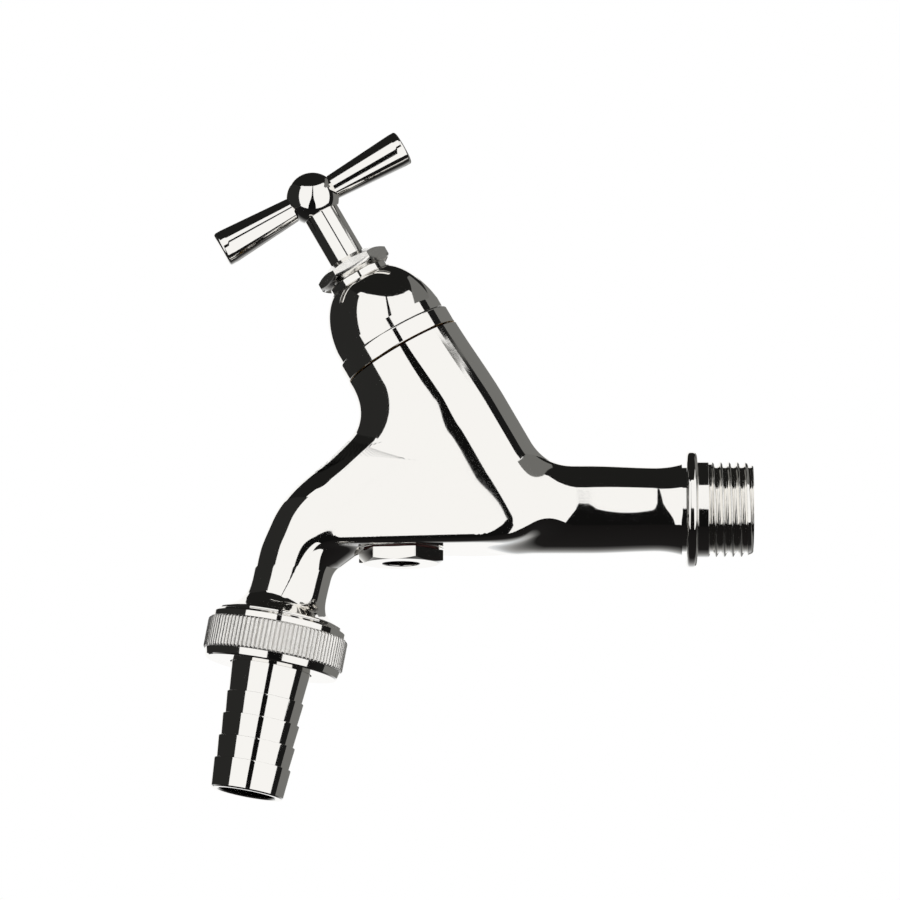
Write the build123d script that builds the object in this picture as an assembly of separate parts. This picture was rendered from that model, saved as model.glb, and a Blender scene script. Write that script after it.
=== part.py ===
from build123d import *
from math import asin, cos, degrees, pi, radians, sin, sqrt, tan
import os

os.makedirs("parts", exist_ok=True)

# All sizes are in millimetres, and angles in degrees unless turned to radians.
# The origin is the centre of the inlet flange's back face. +X runs out of the inlet thread
# into the wall, +Z is up, the spout points towards -X and the tap is symmetric about Y = 0.

# Gaps between mating pieces, and how far cutting shapes run past the faces they open
thread_gap = 0.05
turning_gap = 0.05
sliding_gap = 0.10
snug_gap = 0.02
face_gap = 0.03
past = 1.0

# Pipe thread form, the same for the inlet G 1/2 and the outlet G 3/4
pipe_pitch = 1.814
pipe_thread_depth = 1.162
pipe_crest_width = 0.29
pipe_flank = radians(27.5)
pipe_ridge_sink = 0.12

# Inlet: male thread, plain neck and flange, sizes along X
inlet_major_r = 10.478
inlet_neck_length = 2.4
inlet_length = 12.2
inlet_first_crest = 1.41
inlet_chamfer = 0.9
inlet_chamfer_run = 1.9
inlet_bore_r = 6.6
flange_r = 12.4
flange_thickness = 2.4
flange_rim_round = 0.7
groove_r = 9.3
groove_width = 0.9

# Tail: round tube between the barrel and the groove, with a waist
tail_r = 9.5
tail_start_r = 9.41
tail_start_step = 5.0
tail_waist_r = 9.25
tail_waist_x = -11.0
tail_flare_r = 9.9
tail_flare_start = 4.0
tail_flare_start_r = 9.37
throat_r = 13.5
throat_first_angle = 210
throat_last_angle = 270
throat_steps = 4

# Spindle axis: it leans over the spout and meets the inlet axis at this X.
# Heights along it are measured from that meeting point.
lean = radians(30)
axis_foot_x = -44.0
barrel_r = 13.3
barrel_top = 39.5
barrel_bottom = -8.5
barrel_corner_r = 7.0
underside_z = -8.7
seat_top = 14.0
seat_outer_r = 7.5
seat_bore_r = 5.5
seat_groove_depth = 1.5
chamber_r = 9.5

# Crotch between barrel and spout, and the web behind it
skin_step = 0.1
crotch_r = 7.0
crotch_below_top = 4.0
crotch_first_angle = 30
crotch_last_angle = -52
crotch_steps = 4
web_start_r = barrel_r - 1.4
web_middle_r = 10.05
web_side_r = barrel_r - 0.2
web_side_length = 32.0
web_side_end_r = 9.2
web_side_low = -14.0
web_roof_angle = 135.8
web_roof_step = 7.3
underside_round = 5.2

# Outlet axis: centre of the union nut, tilt from vertical, heights measured upwards along it
outlet_x = axis_foot_x - 47.46
outlet_z = -29.86
outlet_tilt = radians(10.7)
spout_bend_height = 14.68
spout_bend_r = 16.5
spout_bend_angle = 128
spout_top_r = 8.4
spout_bend_mid_r = 7.9
spout_r = 8.0
spout_bore_r = 5.7
spout_mouth_r = 8.0
spout_mouth_depth = 4.0
spout_end = -0.26
outlet_major_r = 13.22
outlet_lead_in = 1.3
collar_r = outlet_major_r + 0.08
collar_bottom = 5.8
collar_rim = 0.5
collar_top = 12.4
collar_flare_out = 0.24
collar_flare_up = 0.42

# Union nut
nut_bottom = -5.06
nut_top = 5.5
nut_knurl_bottom = -2.7
nut_knurl_top = 3.3
nut_knurl_r = outlet_major_r + 2.13
nut_knurl_depth = 0.35
nut_knurl_teeth = 96
nut_low_edge_r = nut_knurl_r - 0.8
nut_low_band_r = nut_knurl_r - 0.45
nut_top_band_r = nut_knurl_r - 0.9
nut_low_edge = 0.3
nut_top_edge = 0.5
nut_lip = 1.6

# Hose tail and its washer, heights along the outlet axis
tail_flange_r = outlet_major_r - 1.22
tail_flange_thickness = 1.57
hose_washer_thickness = 1.6
hose_washer_r = tail_flange_r - 0.1
hose_washer_hole_r = 8.2
cone_top_r = 8.7
cone_end_r = 8.1
cone_end = -11.65
barb_pitch = 4.9
barb_count = 4
barb_crest_r = 8.5
barb_land = 0.25
barb_low_r = 8.0
hose_end = -32.8
hose_end_chamfer = 0.3
hose_bore_r = 6.3
nut_hole_r = cone_top_r + 0.25

# Bonnet, its gasket and the packing, heights along the spindle axis
bonnet_thread_r = chamber_r + 0.5
bonnet_thread_length = 10.5
bonnet_relief = 0.5
gasket_thickness = 0.8
gasket_r = barrel_r - 2.1
bonnet_flats = 19.0
bonnet_hex_top = barrel_top + 5.5
bonnet_neck_r = 6.75
bonnet_neck_top = barrel_top + 20.1
packing_r = 5.5
packing_floor = bonnet_neck_top - 6.1
packing_thickness = 2.4
packing_ring_thickness = 0.7

# Dome cover: a bell with a band at its foot and a threaded hub
cover_band_r = barrel_r
cover_band_top = barrel_top + 4.5
cover_band_wall = 1.4
cover_foot_r = barrel_r - 0.75
cover_dome_foot = bonnet_hex_top
cover_top = barrel_top + 18.3
cover_hub_length = 3.8
cover_dome_reach = 14.5
cover_dome_rise = 9.5
cover_wall = 1.3
cover_edge = 0.3

# Gland nut
gland_flats = 14.5
gland_bottom = bonnet_neck_top + 0.4
gland_top = gland_bottom + 4.4
gland_shank_r = packing_r - 0.1
gland_chamfer_r = 7.0
gland_chamfer_height = 1.7
gland_low_chamfer = 0.3
gland_top_edge = 0.35

# Valve plate that hangs in the spindle, with its washer, screw and clip
washer_thickness = 3.0
washer_r = chamber_r - 2.5
plate_r = washer_r + 1.0
plate_bottom = seat_top + washer_thickness
plate_top = plate_bottom + 2.3
plate_skirt = 1.5
plate_stem_r = 2.5
plate_stem_length = 9.7
clip_height = plate_top + 7.8
clip_thickness = 0.8
clip_groove_depth = 0.4
clip_r = 3.1
clip_opening = 0.8
screw_r = 2.0
screw_depth = 1.6
screw_head_r = 3.5
screw_head_thickness = 1.5
screw_slot = 0.8

# Spindle
spindle_thread_r = 6.0
spindle_lift = 5.0
spindle_thread_top = barrel_top + 0.5
spindle_bore_top = spindle_thread_top + spindle_lift + 1.0
socket_length = 10.7
stem_r = 4.0
stem_top = gland_top + 11.0
tenon_r = 2.5
tenon_flat = 2.2

# Tee handle: ball on the spindle with two tapered arms
ball_r = 5.6
ball_centre = stem_top + 3.9
tenon_top = ball_centre + 2.7
arm_root = 4.85
arm_root_r = 2.8
arm_taper_end = 21.0
arm_end = 23.0
arm_end_r = 3.97
arm_end_round = 0.7
arm_stud_r = 1.5
arm_stud_start = 2.9
grub_r = 1.5
grub_end = 5.2
grub_socket_flats = 1.5
grub_socket_depth = 1.2

# Air inlet valve screwed into the underside, heights along Z
vent_x = axis_foot_x - 20.2
vent_boss_r = 9.3
vent_boss_bottom = underside_z - 0.1
vent_boss_top = -4.0
vent_spot_r = 9.6
vent_hole_top = 2.1
vent_gasket_thickness = 0.35
vent_gasket_r = 8.2
vent_flats = 16.2
vent_turn = -10.6
vent_bottom = vent_boss_bottom - 3.1
vent_hex_chamfer = 0.5
vent_shank_r = 5.95
vent_shank_top = -2.4
vent_mouth_r = 4.05
vent_mouth_top = -8.2
vent_hole_r = 2.5
vent_seat_z = -6.8
vent_chamber_r = 4.7
vent_ring_r = 4.6
vent_ring_hole_r = 2.9
vent_ring_thickness = 0.9
vent_disc_r = 4.2
vent_disc_thickness = 1.4
vent_disc_step = 0.4
vent_cage_thickness = 0.7
vent_cage_holes = 6
vent_cage_hole_r = 0.75
vent_cage_circle_r = 2.8

# Working frames: local Z runs along each axis and local Y is the tap's +Y
spindle_frame = Plane(
    origin=(axis_foot_x, 0, 0),
    x_dir=(cos(lean), 0, sin(lean)),
    z_dir=(-sin(lean), 0, cos(lean)),
)
outlet_frame = Plane(
    origin=(outlet_x, 0, outlet_z),
    x_dir=(cos(outlet_tilt), 0, -sin(outlet_tilt)),
    z_dir=(sin(outlet_tilt), 0, cos(outlet_tilt)),
)
inlet_frame = Plane(origin=(0, 0, 0), x_dir=(0, 0, 1), z_dir=(1, 0, 0))
vent_frame = Plane(origin=(vent_x, 0, 0), x_dir=(1, 0, 0), z_dir=(0, 0, 1))


def in_plane(angle):
    """Unit vector in the XZ plane, at an angle in degrees from +X towards +Z."""
    return Vector(cos(radians(angle)), 0, sin(radians(angle)))


def disc_section(centre, direction, radius):
    """Round section of that radius, square to a direction in the XZ plane."""
    return Plane(origin=centre, x_dir=(0, 1, 0), z_dir=direction) * Circle(radius)


def turned(points):
    """Solid turned about local Z from a closed outline of (radius, height) points."""
    return revolve(Plane.XZ * make_face(Polyline(*points, close=True)), Axis.Z)


def rod(radius, low, high):
    """Round bar about local Z between two heights."""
    return Pos(0, 0, low) * Cylinder(radius, high - low, align=(Align.CENTER, Align.CENTER, Align.MIN))


def ring(outer, inner, low, high):
    """Round bar with a round hole through it."""
    return rod(outer, low, high) - rod(inner, low - past, high + past)


def corner_radius(flats):
    """Distance from the axis to a corner of a hexagon."""
    return flats / 2 / cos(pi / 6)


def hexagon(flats, low, high):
    """Hexagonal bar about local Z with one pair of flats facing +Y and -Y."""
    outline = RegularPolygon(radius=flats / 2, side_count=6, major_radius=False)
    return Pos(0, 0, low) * extrude(outline, amount=high - low)


def pipe_thread(major, low, high):
    """Core with a pipe thread ridge wound on it about local Z, to be trimmed to length."""
    root = major - pipe_thread_depth
    foot = root - pipe_ridge_sink
    crest_half = pipe_crest_width / 2
    foot_half = crest_half + (major - foot) * tan(pipe_flank)
    path = Helix(pitch=pipe_pitch, height=high - low, radius=root, center=(0, 0, low))
    outline = Polyline(
        (foot, low - foot_half),
        (major, low - crest_half),
        (major, low + crest_half),
        (foot, low + foot_half),
        close=True,
    )
    ridge = sweep(Plane.XZ * make_face(outline), path=path, is_frenet=True)
    return rod(root, low - pipe_pitch, high + pipe_pitch) + ridge


def inlet_end():
    """Flange, plain neck and male thread G 1/2, about the inlet axis."""
    flange = rod(flange_r, -flange_thickness, 0)
    flange = fillet(flange.edges().filter_by(GeomType.CIRCLE), flange_rim_round)
    neck = rod(inlet_major_r, -past, inlet_neck_length)
    groove = rod(groove_r, -flange_thickness - groove_width - past, 0)
    thread = pipe_thread(inlet_major_r, inlet_first_crest, inlet_length + pipe_pitch / 2)
    thread &= turned([
        (0, inlet_neck_length),
        (inlet_major_r + past, inlet_neck_length),
        (inlet_major_r + past, inlet_length - inlet_chamfer_run),
        (inlet_major_r - inlet_chamfer, inlet_length),
        (0, inlet_length),
    ])
    return inlet_frame * (flange + neck + groove + thread)


def outlet_end():
    """Trumpet collar and male thread G 3/4 that the union nut screws onto."""
    rim_top = (collar_r, collar_bottom + collar_rim)
    flare_middle = (
        spout_r + collar_flare_out * (collar_r - spout_r),
        collar_bottom + collar_flare_up * (collar_top - collar_bottom),
    )
    flare_top = (spout_r - skin_step, collar_top)
    edge = Polyline(flare_top, (0, collar_top), (0, collar_bottom), (collar_r, collar_bottom), rim_top)
    flare = ThreePointArc(rim_top, flare_middle, flare_top)
    collar = revolve(Plane.XZ * make_face(edge + flare), Axis.Z)
    thread = pipe_thread(outlet_major_r, spout_end - pipe_pitch / 2, collar_bottom + pipe_pitch / 2)
    thread &= turned([
        (0, spout_end),
        (outlet_major_r - pipe_thread_depth, spout_end),
        (outlet_major_r, spout_end + outlet_lead_in),
        (outlet_major_r + past, spout_end + outlet_lead_in + past),
        (outlet_major_r + past, collar_bottom),
        (0, collar_bottom),
    ])
    return outlet_frame * (collar + thread)


def spout_bend_centre():
    """Centre of the bend between the web and the outlet."""
    return outlet_frame.from_local_coords(Vector(spout_bend_r, 0, spout_bend_height))


def below_underside():
    """Block that fills everything under the flat underside."""
    return Plane(origin=(axis_foot_x, 0, underside_z)) * extrude(Rectangle(300, 100), amount=-60)


def barrel():
    """Round barrel about the spindle axis, with a rounded lower end cut flat underneath."""
    solid = rod(barrel_r, barrel_bottom, barrel_top)
    solid = fillet(solid.edges().group_by(Axis.Z)[0], barrel_corner_r)
    return spindle_frame * solid - below_underside()


def spout_tube():
    """Tube that leaves the barrel, bends round the crotch and runs down to the outlet."""
    inner_r = barrel_r - skin_step
    height = barrel_top - crotch_below_top
    crotch = spindle_frame.from_local_coords(Vector(-inner_r - crotch_r, 0, height))
    start = spindle_frame.from_local_coords(Vector(0, 0, height + past))
    sections = [disc_section(start, spindle_frame.z_dir * -1, inner_r)]
    for step in range(crotch_steps + 1):
        part = step / crotch_steps
        angle = crotch_first_angle + (crotch_last_angle - crotch_first_angle) * part
        radius = inner_r + (web_start_r - inner_r) * part
        outward = in_plane(angle)
        centre = crotch + outward * (crotch_r + radius)
        sections.append(disc_section(centre, Vector(outward.Z, 0, -outward.X), radius))
    bend = spout_bend_centre()
    web_start = crotch + in_plane(crotch_last_angle) * (crotch_r + web_start_r)
    web_end = bend + in_plane(spout_bend_angle) * spout_bend_r
    web_run = (web_end - web_start).normalized()
    sections.append(disc_section((web_start + web_end) * 0.5, web_run, web_middle_r))
    last_angle = 180 - degrees(outlet_tilt)
    bend_sections = (
        (spout_bend_angle, spout_top_r),
        ((spout_bend_angle + last_angle) / 2, spout_bend_mid_r),
        (last_angle, spout_bend_mid_r),
    )
    for angle, radius in bend_sections:
        outward = in_plane(angle)
        run = Vector(-outward.Z, 0, outward.X)
        sections.append(disc_section(bend + outward * spout_bend_r, run, radius))
    end = outlet_frame.from_local_coords(Vector(0, 0, collar_top - past))
    sections.append(disc_section(end, outlet_frame.z_dir * -1, spout_r))
    return loft(sections)


def tail_tube():
    """Tube that leaves the barrel, bends through the throat and runs along the inlet axis."""
    inner_r = barrel_r - skin_step
    reach = inner_r + throat_r
    height = (tail_r + throat_r - reach * sin(lean)) / cos(lean)
    throat = spindle_frame.from_local_coords(Vector(reach, 0, height))
    start = spindle_frame.from_local_coords(Vector(0, 0, height + past))
    sections = [disc_section(start, spindle_frame.z_dir * -1, inner_r)]
    for step in range(throat_steps + 1):
        part = step / throat_steps
        angle = throat_first_angle + (throat_last_angle - throat_first_angle) * part
        eased = (part + part * part * (3 - 2 * part)) / 2
        radius = inner_r + (tail_r - inner_r) * eased
        outward = in_plane(angle)
        centre = throat + outward * (throat_r + radius)
        sections.append(disc_section(centre, Vector(-outward.Z, 0, outward.X), radius))
    straight = (
        (throat.X + tail_start_step, tail_r),
        (throat.X + 2 * tail_start_step, tail_start_r),
        (tail_waist_x, tail_waist_r),
        (tail_waist_x + tail_flare_start, tail_flare_start_r),
        (-flange_thickness - groove_width, tail_flare_r),
    )
    for x, radius in straight:
        sections.append(disc_section(Vector(x, 0, 0), Vector(1, 0, 0), radius))
    return loft(sections)


def web_sides():
    """Side walls between barrel and spout: a tear shape run along the spindle axis."""
    narrowing = asin((web_side_r - web_side_end_r) / web_side_length)
    near_x = web_side_r * sin(narrowing)
    near_y = web_side_r * cos(narrowing)
    far_x = web_side_length + web_side_end_r * sin(narrowing)
    far_y = web_side_end_r * cos(narrowing)
    outline = Polygon((-near_x, near_y), (-far_x, far_y), (-far_x, -far_y), (-near_x, -near_y), align=None)
    outline += Pos(-web_side_length, 0) * Circle(web_side_end_r)
    solid = extrude(spindle_frame * Pos(0, 0, web_side_low) * outline, amount=barrel_top - web_side_low)
    outward = in_plane(web_roof_angle)
    roof_distance = spout_bend_r + spout_top_r - web_roof_step
    roof = Plane(origin=spout_bend_centre() + outward * roof_distance, x_dir=(0, 1, 0), z_dir=outward)
    solid -= roof * extrude(Rectangle(80, 160), amount=60)
    solid -= below_underside()
    floor_edges = solid.edges().filter_by_position(Axis.Z, underside_z - 0.01, underside_z + 0.01)
    inner_edge = floor_edges.sort_by(Axis.X)[-1]
    return fillet([edge for edge in floor_edges if edge != inner_edge], underside_round)


def spout_passage():
    """Passage from the chamber round the bend to the outlet, kept clear of the seat's wall."""
    bend = spout_bend_centre()
    last_angle = 180 - degrees(outlet_tilt)
    turn = bend + in_plane(spout_bend_angle) * spout_bend_r
    middle = bend + in_plane((spout_bend_angle + last_angle) / 2) * spout_bend_r
    straight_start = bend + in_plane(last_angle) * spout_bend_r
    into_chamber = turn + in_plane(spout_bend_angle - 90) * web_side_length
    mouth = outlet_frame.from_local_coords(Vector(0, 0, spout_end - past))
    path = Line(into_chamber, turn)
    path += ThreePointArc(turn, middle, straight_start)
    path += Line(straight_start, mouth)
    passage = sweep(disc_section(into_chamber, turn - into_chamber, spout_bore_r), path=path)
    return passage - spindle_frame * rod(seat_outer_r, 0, seat_top)


def water_way():
    """Everything hollow inside the body: inlet, seat, chamber, spout and threaded holes."""
    inlet = inlet_frame * rod(inlet_bore_r, axis_foot_x, inlet_length + past)
    inlet += Pos(axis_foot_x, 0, 0) * Sphere(inlet_bore_r)
    bonnet_bottom = barrel_top - bonnet_thread_length
    head = rod(seat_bore_r, 0, seat_top)
    head += ring(chamber_r, seat_outer_r, seat_top - seat_groove_depth, seat_top)
    head += rod(chamber_r, seat_top, bonnet_bottom)
    head += rod(bonnet_thread_r + thread_gap, bonnet_bottom - bonnet_relief, barrel_top + past)
    mouth = outlet_frame * rod(spout_mouth_r, spout_end - past, spout_end + spout_mouth_depth)
    vent = vent_frame * rod(vent_shank_r + thread_gap, vent_bottom, vent_hole_top)
    spot_face = vent_frame * rod(vent_spot_r, 2 * vent_boss_bottom, vent_boss_bottom)
    return inlet + spindle_frame * head + spout_passage() + mouth + vent + spot_face


def tap_body():
    """Cast body with barrel, web, spout, tail, flange, both threads and all its passages."""
    solid = barrel() + spout_tube() + tail_tube() + web_sides()
    solid += vent_frame * rod(vent_boss_r, vent_boss_bottom, vent_boss_top)
    solid += outlet_end()
    solid += inlet_end()
    return solid - water_way()


def bonnet():
    """Head work body: male thread, hexagon and polished neck, bored for the spindle."""
    bottom = barrel_top - bonnet_thread_length
    hex_bottom = barrel_top + gasket_thickness
    solid = rod(bonnet_thread_r, bottom, hex_bottom)
    solid += hexagon(bonnet_flats, hex_bottom, bonnet_hex_top)
    solid += rod(bonnet_neck_r, bonnet_hex_top - past, bonnet_neck_top)
    solid -= rod(spindle_thread_r + turning_gap, bottom - past, spindle_bore_top)
    solid -= rod(stem_r + turning_gap, spindle_bore_top - past, packing_floor + past)
    solid -= rod(packing_r, packing_floor, bonnet_neck_top + past)
    return spindle_frame * solid


def bonnet_gasket():
    """Flat ring that seals the bonnet against the top of the barrel."""
    hole_r = bonnet_thread_r + sliding_gap
    return spindle_frame * ring(gasket_r, hole_r, barrel_top, barrel_top + gasket_thickness)


def dome_arc(inset, low, high):
    """Quarter ellipse of the bell's wall, moved inwards by the inset, between two heights."""
    centre = (cover_foot_r - cover_dome_rise, cover_dome_foot)
    across = cover_dome_rise - inset
    up = cover_dome_reach - inset
    first = degrees(asin((low - cover_dome_foot) / up))
    last = degrees(asin((high - cover_dome_foot) / up))
    return EllipticalCenterArc(centre, across, up, first, arc_size=last - first)


def dome_cover():
    """Polished bell over the bonnet: band at the foot, domed wall and threaded hub."""
    hub_r = bonnet_neck_r + thread_gap
    hub_bottom = cover_top - cover_hub_length
    outer = dome_arc(0, cover_dome_foot, cover_top)
    inner = dome_arc(cover_wall, cover_dome_foot, hub_bottom)
    band_hole_r = cover_band_r - cover_band_wall
    hub = Polyline(outer @ 1, (hub_r, cover_top), (hub_r, hub_bottom), inner @ 1)
    band = Polyline(
        inner @ 0,
        (band_hole_r, cover_dome_foot),
        (band_hole_r, barrel_top),
        (cover_band_r - cover_edge, barrel_top),
        (cover_band_r, barrel_top + cover_edge),
        (cover_band_r, cover_band_top - cover_edge),
        (cover_band_r - cover_edge, cover_band_top),
        (cover_foot_r, cover_band_top),
        outer @ 0,
    )
    return spindle_frame * revolve(Plane.XZ * make_face(outer + hub + inner + band), Axis.Z)


def gland_packing():
    """Packing ring squeezed round the stem."""
    high = packing_floor + packing_thickness
    return spindle_frame * ring(packing_r, stem_r + snug_gap, packing_floor, high)


def gland_ring():
    """Brass ring between the gland nut's shank and the packing."""
    low = packing_floor + packing_thickness
    return spindle_frame * ring(gland_shank_r, stem_r + sliding_gap, low, low + packing_ring_thickness)


def gland_nut():
    """Hexagon with a turned top and a threaded shank that presses the packing."""
    shank_bottom = packing_floor + packing_thickness + packing_ring_thickness
    corner_r = corner_radius(gland_flats)
    solid = hexagon(gland_flats, gland_bottom, gland_top)
    solid &= turned([
        (0, gland_bottom),
        (corner_r - gland_low_chamfer, gland_bottom),
        (corner_r, gland_bottom + gland_low_chamfer),
        (corner_r, gland_top - gland_chamfer_height),
        (gland_chamfer_r, gland_top - gland_top_edge),
        (gland_chamfer_r - gland_top_edge, gland_top),
        (0, gland_top),
    ])
    solid += rod(gland_shank_r, shank_bottom, gland_bottom + past)
    solid -= rod(stem_r + turning_gap, shank_bottom - past, gland_top + past)
    return spindle_frame * solid


def spindle():
    """Rising spindle: screw part, polished stem, tenon for the ball and socket for the plate."""
    solid = rod(spindle_thread_r, plate_top + face_gap, spindle_thread_top)
    solid += rod(stem_r, spindle_thread_top - past, stem_top)
    tenon = rod(tenon_r, stem_top - past, tenon_top)
    tenon -= Pos(0, tenon_flat + tenon_r, ball_centre) * Box(3 * tenon_r, 2 * tenon_r, 2 * grub_r + past)
    solid += tenon
    solid -= rod(plate_stem_r + sliding_gap, plate_top - past, plate_top + socket_length)
    solid -= rod(clip_r, clip_height, clip_height + clip_thickness)
    return spindle_frame * solid


def valve_plate():
    """Plate with a skirt for the washer and a stem that hangs in the spindle."""
    solid = rod(plate_r, plate_bottom - plate_skirt, plate_top)
    solid -= rod(washer_r + turning_gap, plate_bottom - plate_skirt - past, plate_bottom)
    solid += rod(plate_stem_r, plate_top - past, plate_top + plate_stem_length)
    groove_r = plate_stem_r - clip_groove_depth
    solid -= ring(plate_stem_r + past, groove_r, clip_height, clip_height + clip_thickness)
    solid -= rod(screw_r, plate_bottom - past, plate_bottom + screw_depth)
    return spindle_frame * solid


def seat_washer():
    """Rubber washer that closes the seat."""
    return spindle_frame * ring(washer_r, screw_r + turning_gap, seat_top, plate_bottom)


def washer_screw():
    """Slotted screw that holds the washer in the plate."""
    solid = rod(screw_head_r, seat_top - screw_head_thickness, seat_top)
    solid += rod(screw_r, seat_top - screw_head_thickness / 2, plate_bottom + screw_depth)
    solid -= Pos(0, 0, seat_top - screw_head_thickness) * Box(3 * screw_head_r, screw_slot, screw_slot)
    return spindle_frame * solid


def jumper_clip():
    """Split spring ring that keeps the plate's stem in the spindle."""
    hole_r = plate_stem_r - clip_groove_depth + turning_gap
    solid = ring(clip_r, hole_r, clip_height + face_gap, clip_height + clip_thickness - face_gap)
    solid -= Pos(clip_r, 0, clip_height) * Box(2 * clip_r, clip_opening, 4 * clip_thickness)
    return spindle_frame * solid


def handle_hub():
    """Ball of the tee handle with seats and holes for the stem, both arms and the grub screw."""
    solid = Sphere(ball_r)
    solid -= rod(ball_r, -2 * ball_r, stem_top - ball_centre)
    solid -= rod(tenon_r + snug_gap, -ball_r, tenon_top - ball_centre)
    for side in (-1, 1):
        facing = Rot(0, 0, 90 - 90 * side) * Rot(0, 90, 0)
        solid -= facing * rod(ball_r, arm_root, 2 * ball_r)
        solid -= facing * rod(arm_stud_r, arm_stud_start, ball_r)
    solid -= Rot(-90, 0, 0) * rod(grub_r, 0, ball_r + past)
    return spindle_frame * (Pos(0, 0, ball_centre) * solid)


def handle_arm(side):
    """Tapered arm with a rounded end and a stud that screws into the ball."""
    solid = turned([
        (0, arm_stud_start),
        (arm_stud_r, arm_stud_start),
        (arm_stud_r, arm_root),
        (arm_root_r, arm_root),
        (arm_end_r, arm_taper_end),
        (arm_end_r, arm_end),
        (0, arm_end),
    ])
    rim = solid.edges().filter_by(GeomType.CIRCLE).group_by(Axis.Z)[-1]
    solid = Rot(0, 0, 90 - 90 * side) * Rot(0, 90, 0) * fillet(rim, arm_end_round)
    return spindle_frame * (Pos(0, 0, ball_centre) * solid)


def handle_grub_screw():
    """Socket screw at the back of the ball that locks it on the tenon's flat."""
    solid = rod(grub_r, tenon_flat, grub_end)
    solid -= hexagon(grub_socket_flats, grub_end - grub_socket_depth, grub_end + past)
    return spindle_frame * (Pos(0, 0, ball_centre) * Rot(-90, 0, 0) * solid)


def knurl_ring():
    """Band of straight knurling: a wheel outline whose radius steps in between the teeth."""
    points = []
    for corner in range(2 * nut_knurl_teeth):
        angle = pi * corner / nut_knurl_teeth
        radius = nut_knurl_r - nut_knurl_depth * (corner % 2)
        points.append((radius * cos(angle), radius * sin(angle)))
    wheel = extrude(Polygon(*points, align=None), amount=nut_knurl_top - nut_knurl_bottom)
    return Pos(0, 0, nut_knurl_bottom) * wheel


def union_nut():
    """Knurled union nut with plain bands above and below and an inner lip at the bottom."""
    solid = turned([
        (0, nut_bottom),
        (nut_low_edge_r - nut_low_edge, nut_bottom),
        (nut_low_edge_r, nut_bottom + nut_low_edge),
        (nut_low_band_r, nut_knurl_bottom),
        (nut_top_band_r, nut_knurl_top),
        (nut_top_band_r, nut_top - nut_top_edge),
        (nut_top_band_r - nut_top_edge, nut_top),
        (0, nut_top),
    ])
    solid += knurl_ring()
    solid -= rod(outlet_major_r + turning_gap, nut_bottom + nut_lip, nut_top + past)
    solid -= rod(nut_hole_r, nut_bottom - past, nut_top)
    return outlet_frame * solid


def hose_tail():
    """Turned hose tail: flange held by the nut, first cone and a row of barbs."""
    flange_bottom = nut_bottom + nut_lip + face_gap
    flange_top = flange_bottom + tail_flange_thickness
    outline = [
        (hose_bore_r, flange_top),
        (tail_flange_r, flange_top),
        (tail_flange_r, flange_bottom),
        (cone_top_r, flange_bottom),
        (cone_top_r, nut_bottom),
        (cone_end_r, cone_end),
    ]
    for barb in range(barb_count):
        top = cone_end - barb * barb_pitch
        outline.append((barb_crest_r, top))
        outline.append((barb_crest_r, top - barb_land))
        if barb < barb_count - 1:
            outline.append((barb_low_r, top - barb_pitch))
    outline.append((barb_low_r, hose_end + hose_end_chamfer))
    outline.append((barb_low_r - hose_end_chamfer, hose_end))
    outline.append((hose_bore_r + hose_end_chamfer, hose_end))
    outline.append((hose_bore_r, hose_end + hose_end_chamfer))
    return outlet_frame * turned(outline)


def hose_washer():
    """Flat washer between the spout's end and the hose tail's flange."""
    return outlet_frame * ring(
        hose_washer_r,
        hose_washer_hole_r,
        spout_end - hose_washer_thickness,
        spout_end,
    )


def vent_plug():
    """Hexagon plug of the air inlet valve with its mouth, valve hole and chamber."""
    hex_top = vent_boss_bottom - vent_gasket_thickness
    corner_r = corner_radius(vent_flats)
    solid = Rot(0, 0, vent_turn) * hexagon(vent_flats, vent_bottom, hex_top)
    solid &= turned([
        (0, vent_bottom),
        (vent_flats / 2, vent_bottom),
        (corner_r, vent_bottom + vent_hex_chamfer),
        (corner_r, hex_top),
        (0, hex_top),
    ])
    solid += rod(vent_shank_r, hex_top - past, vent_shank_top)
    solid -= rod(vent_mouth_r, vent_bottom - past, vent_mouth_top)
    solid -= rod(vent_hole_r, vent_bottom, vent_seat_z + past)
    solid -= rod(vent_chamber_r, vent_seat_z, vent_shank_top + past)
    return vent_frame * solid


def vent_gasket():
    """Flat ring between the plug's hexagon and the boss."""
    low = vent_boss_bottom - vent_gasket_thickness
    return vent_frame * ring(vent_gasket_r, vent_shank_r + sliding_gap, low, vent_boss_bottom)


def vent_seal_ring():
    """Rubber ring that the disc rests on."""
    return vent_frame * ring(vent_ring_r, vent_ring_hole_r, vent_seat_z, vent_seat_z + vent_ring_thickness)


def vent_disc():
    """Loose disc that water pressure holds down and suction lifts."""
    low = vent_seat_z + vent_ring_thickness
    high = low + vent_disc_thickness
    solid = rod(vent_disc_r, low, high - vent_disc_step)
    solid += rod(vent_disc_r - vent_disc_step, low, high)
    return vent_frame * solid


def vent_cage():
    """Pierced cap pressed into the plug above the disc."""
    low = vent_shank_top - vent_cage_thickness
    solid = rod(vent_chamber_r, low, vent_shank_top)
    hole = Pos(vent_cage_circle_r, 0, 0) * rod(vent_cage_hole_r, low - past, vent_shank_top + past)
    for number in range(vent_cage_holes):
        solid -= Rot(0, 0, 360 * number / vent_cage_holes) * hole
    return vent_frame * solid


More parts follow.
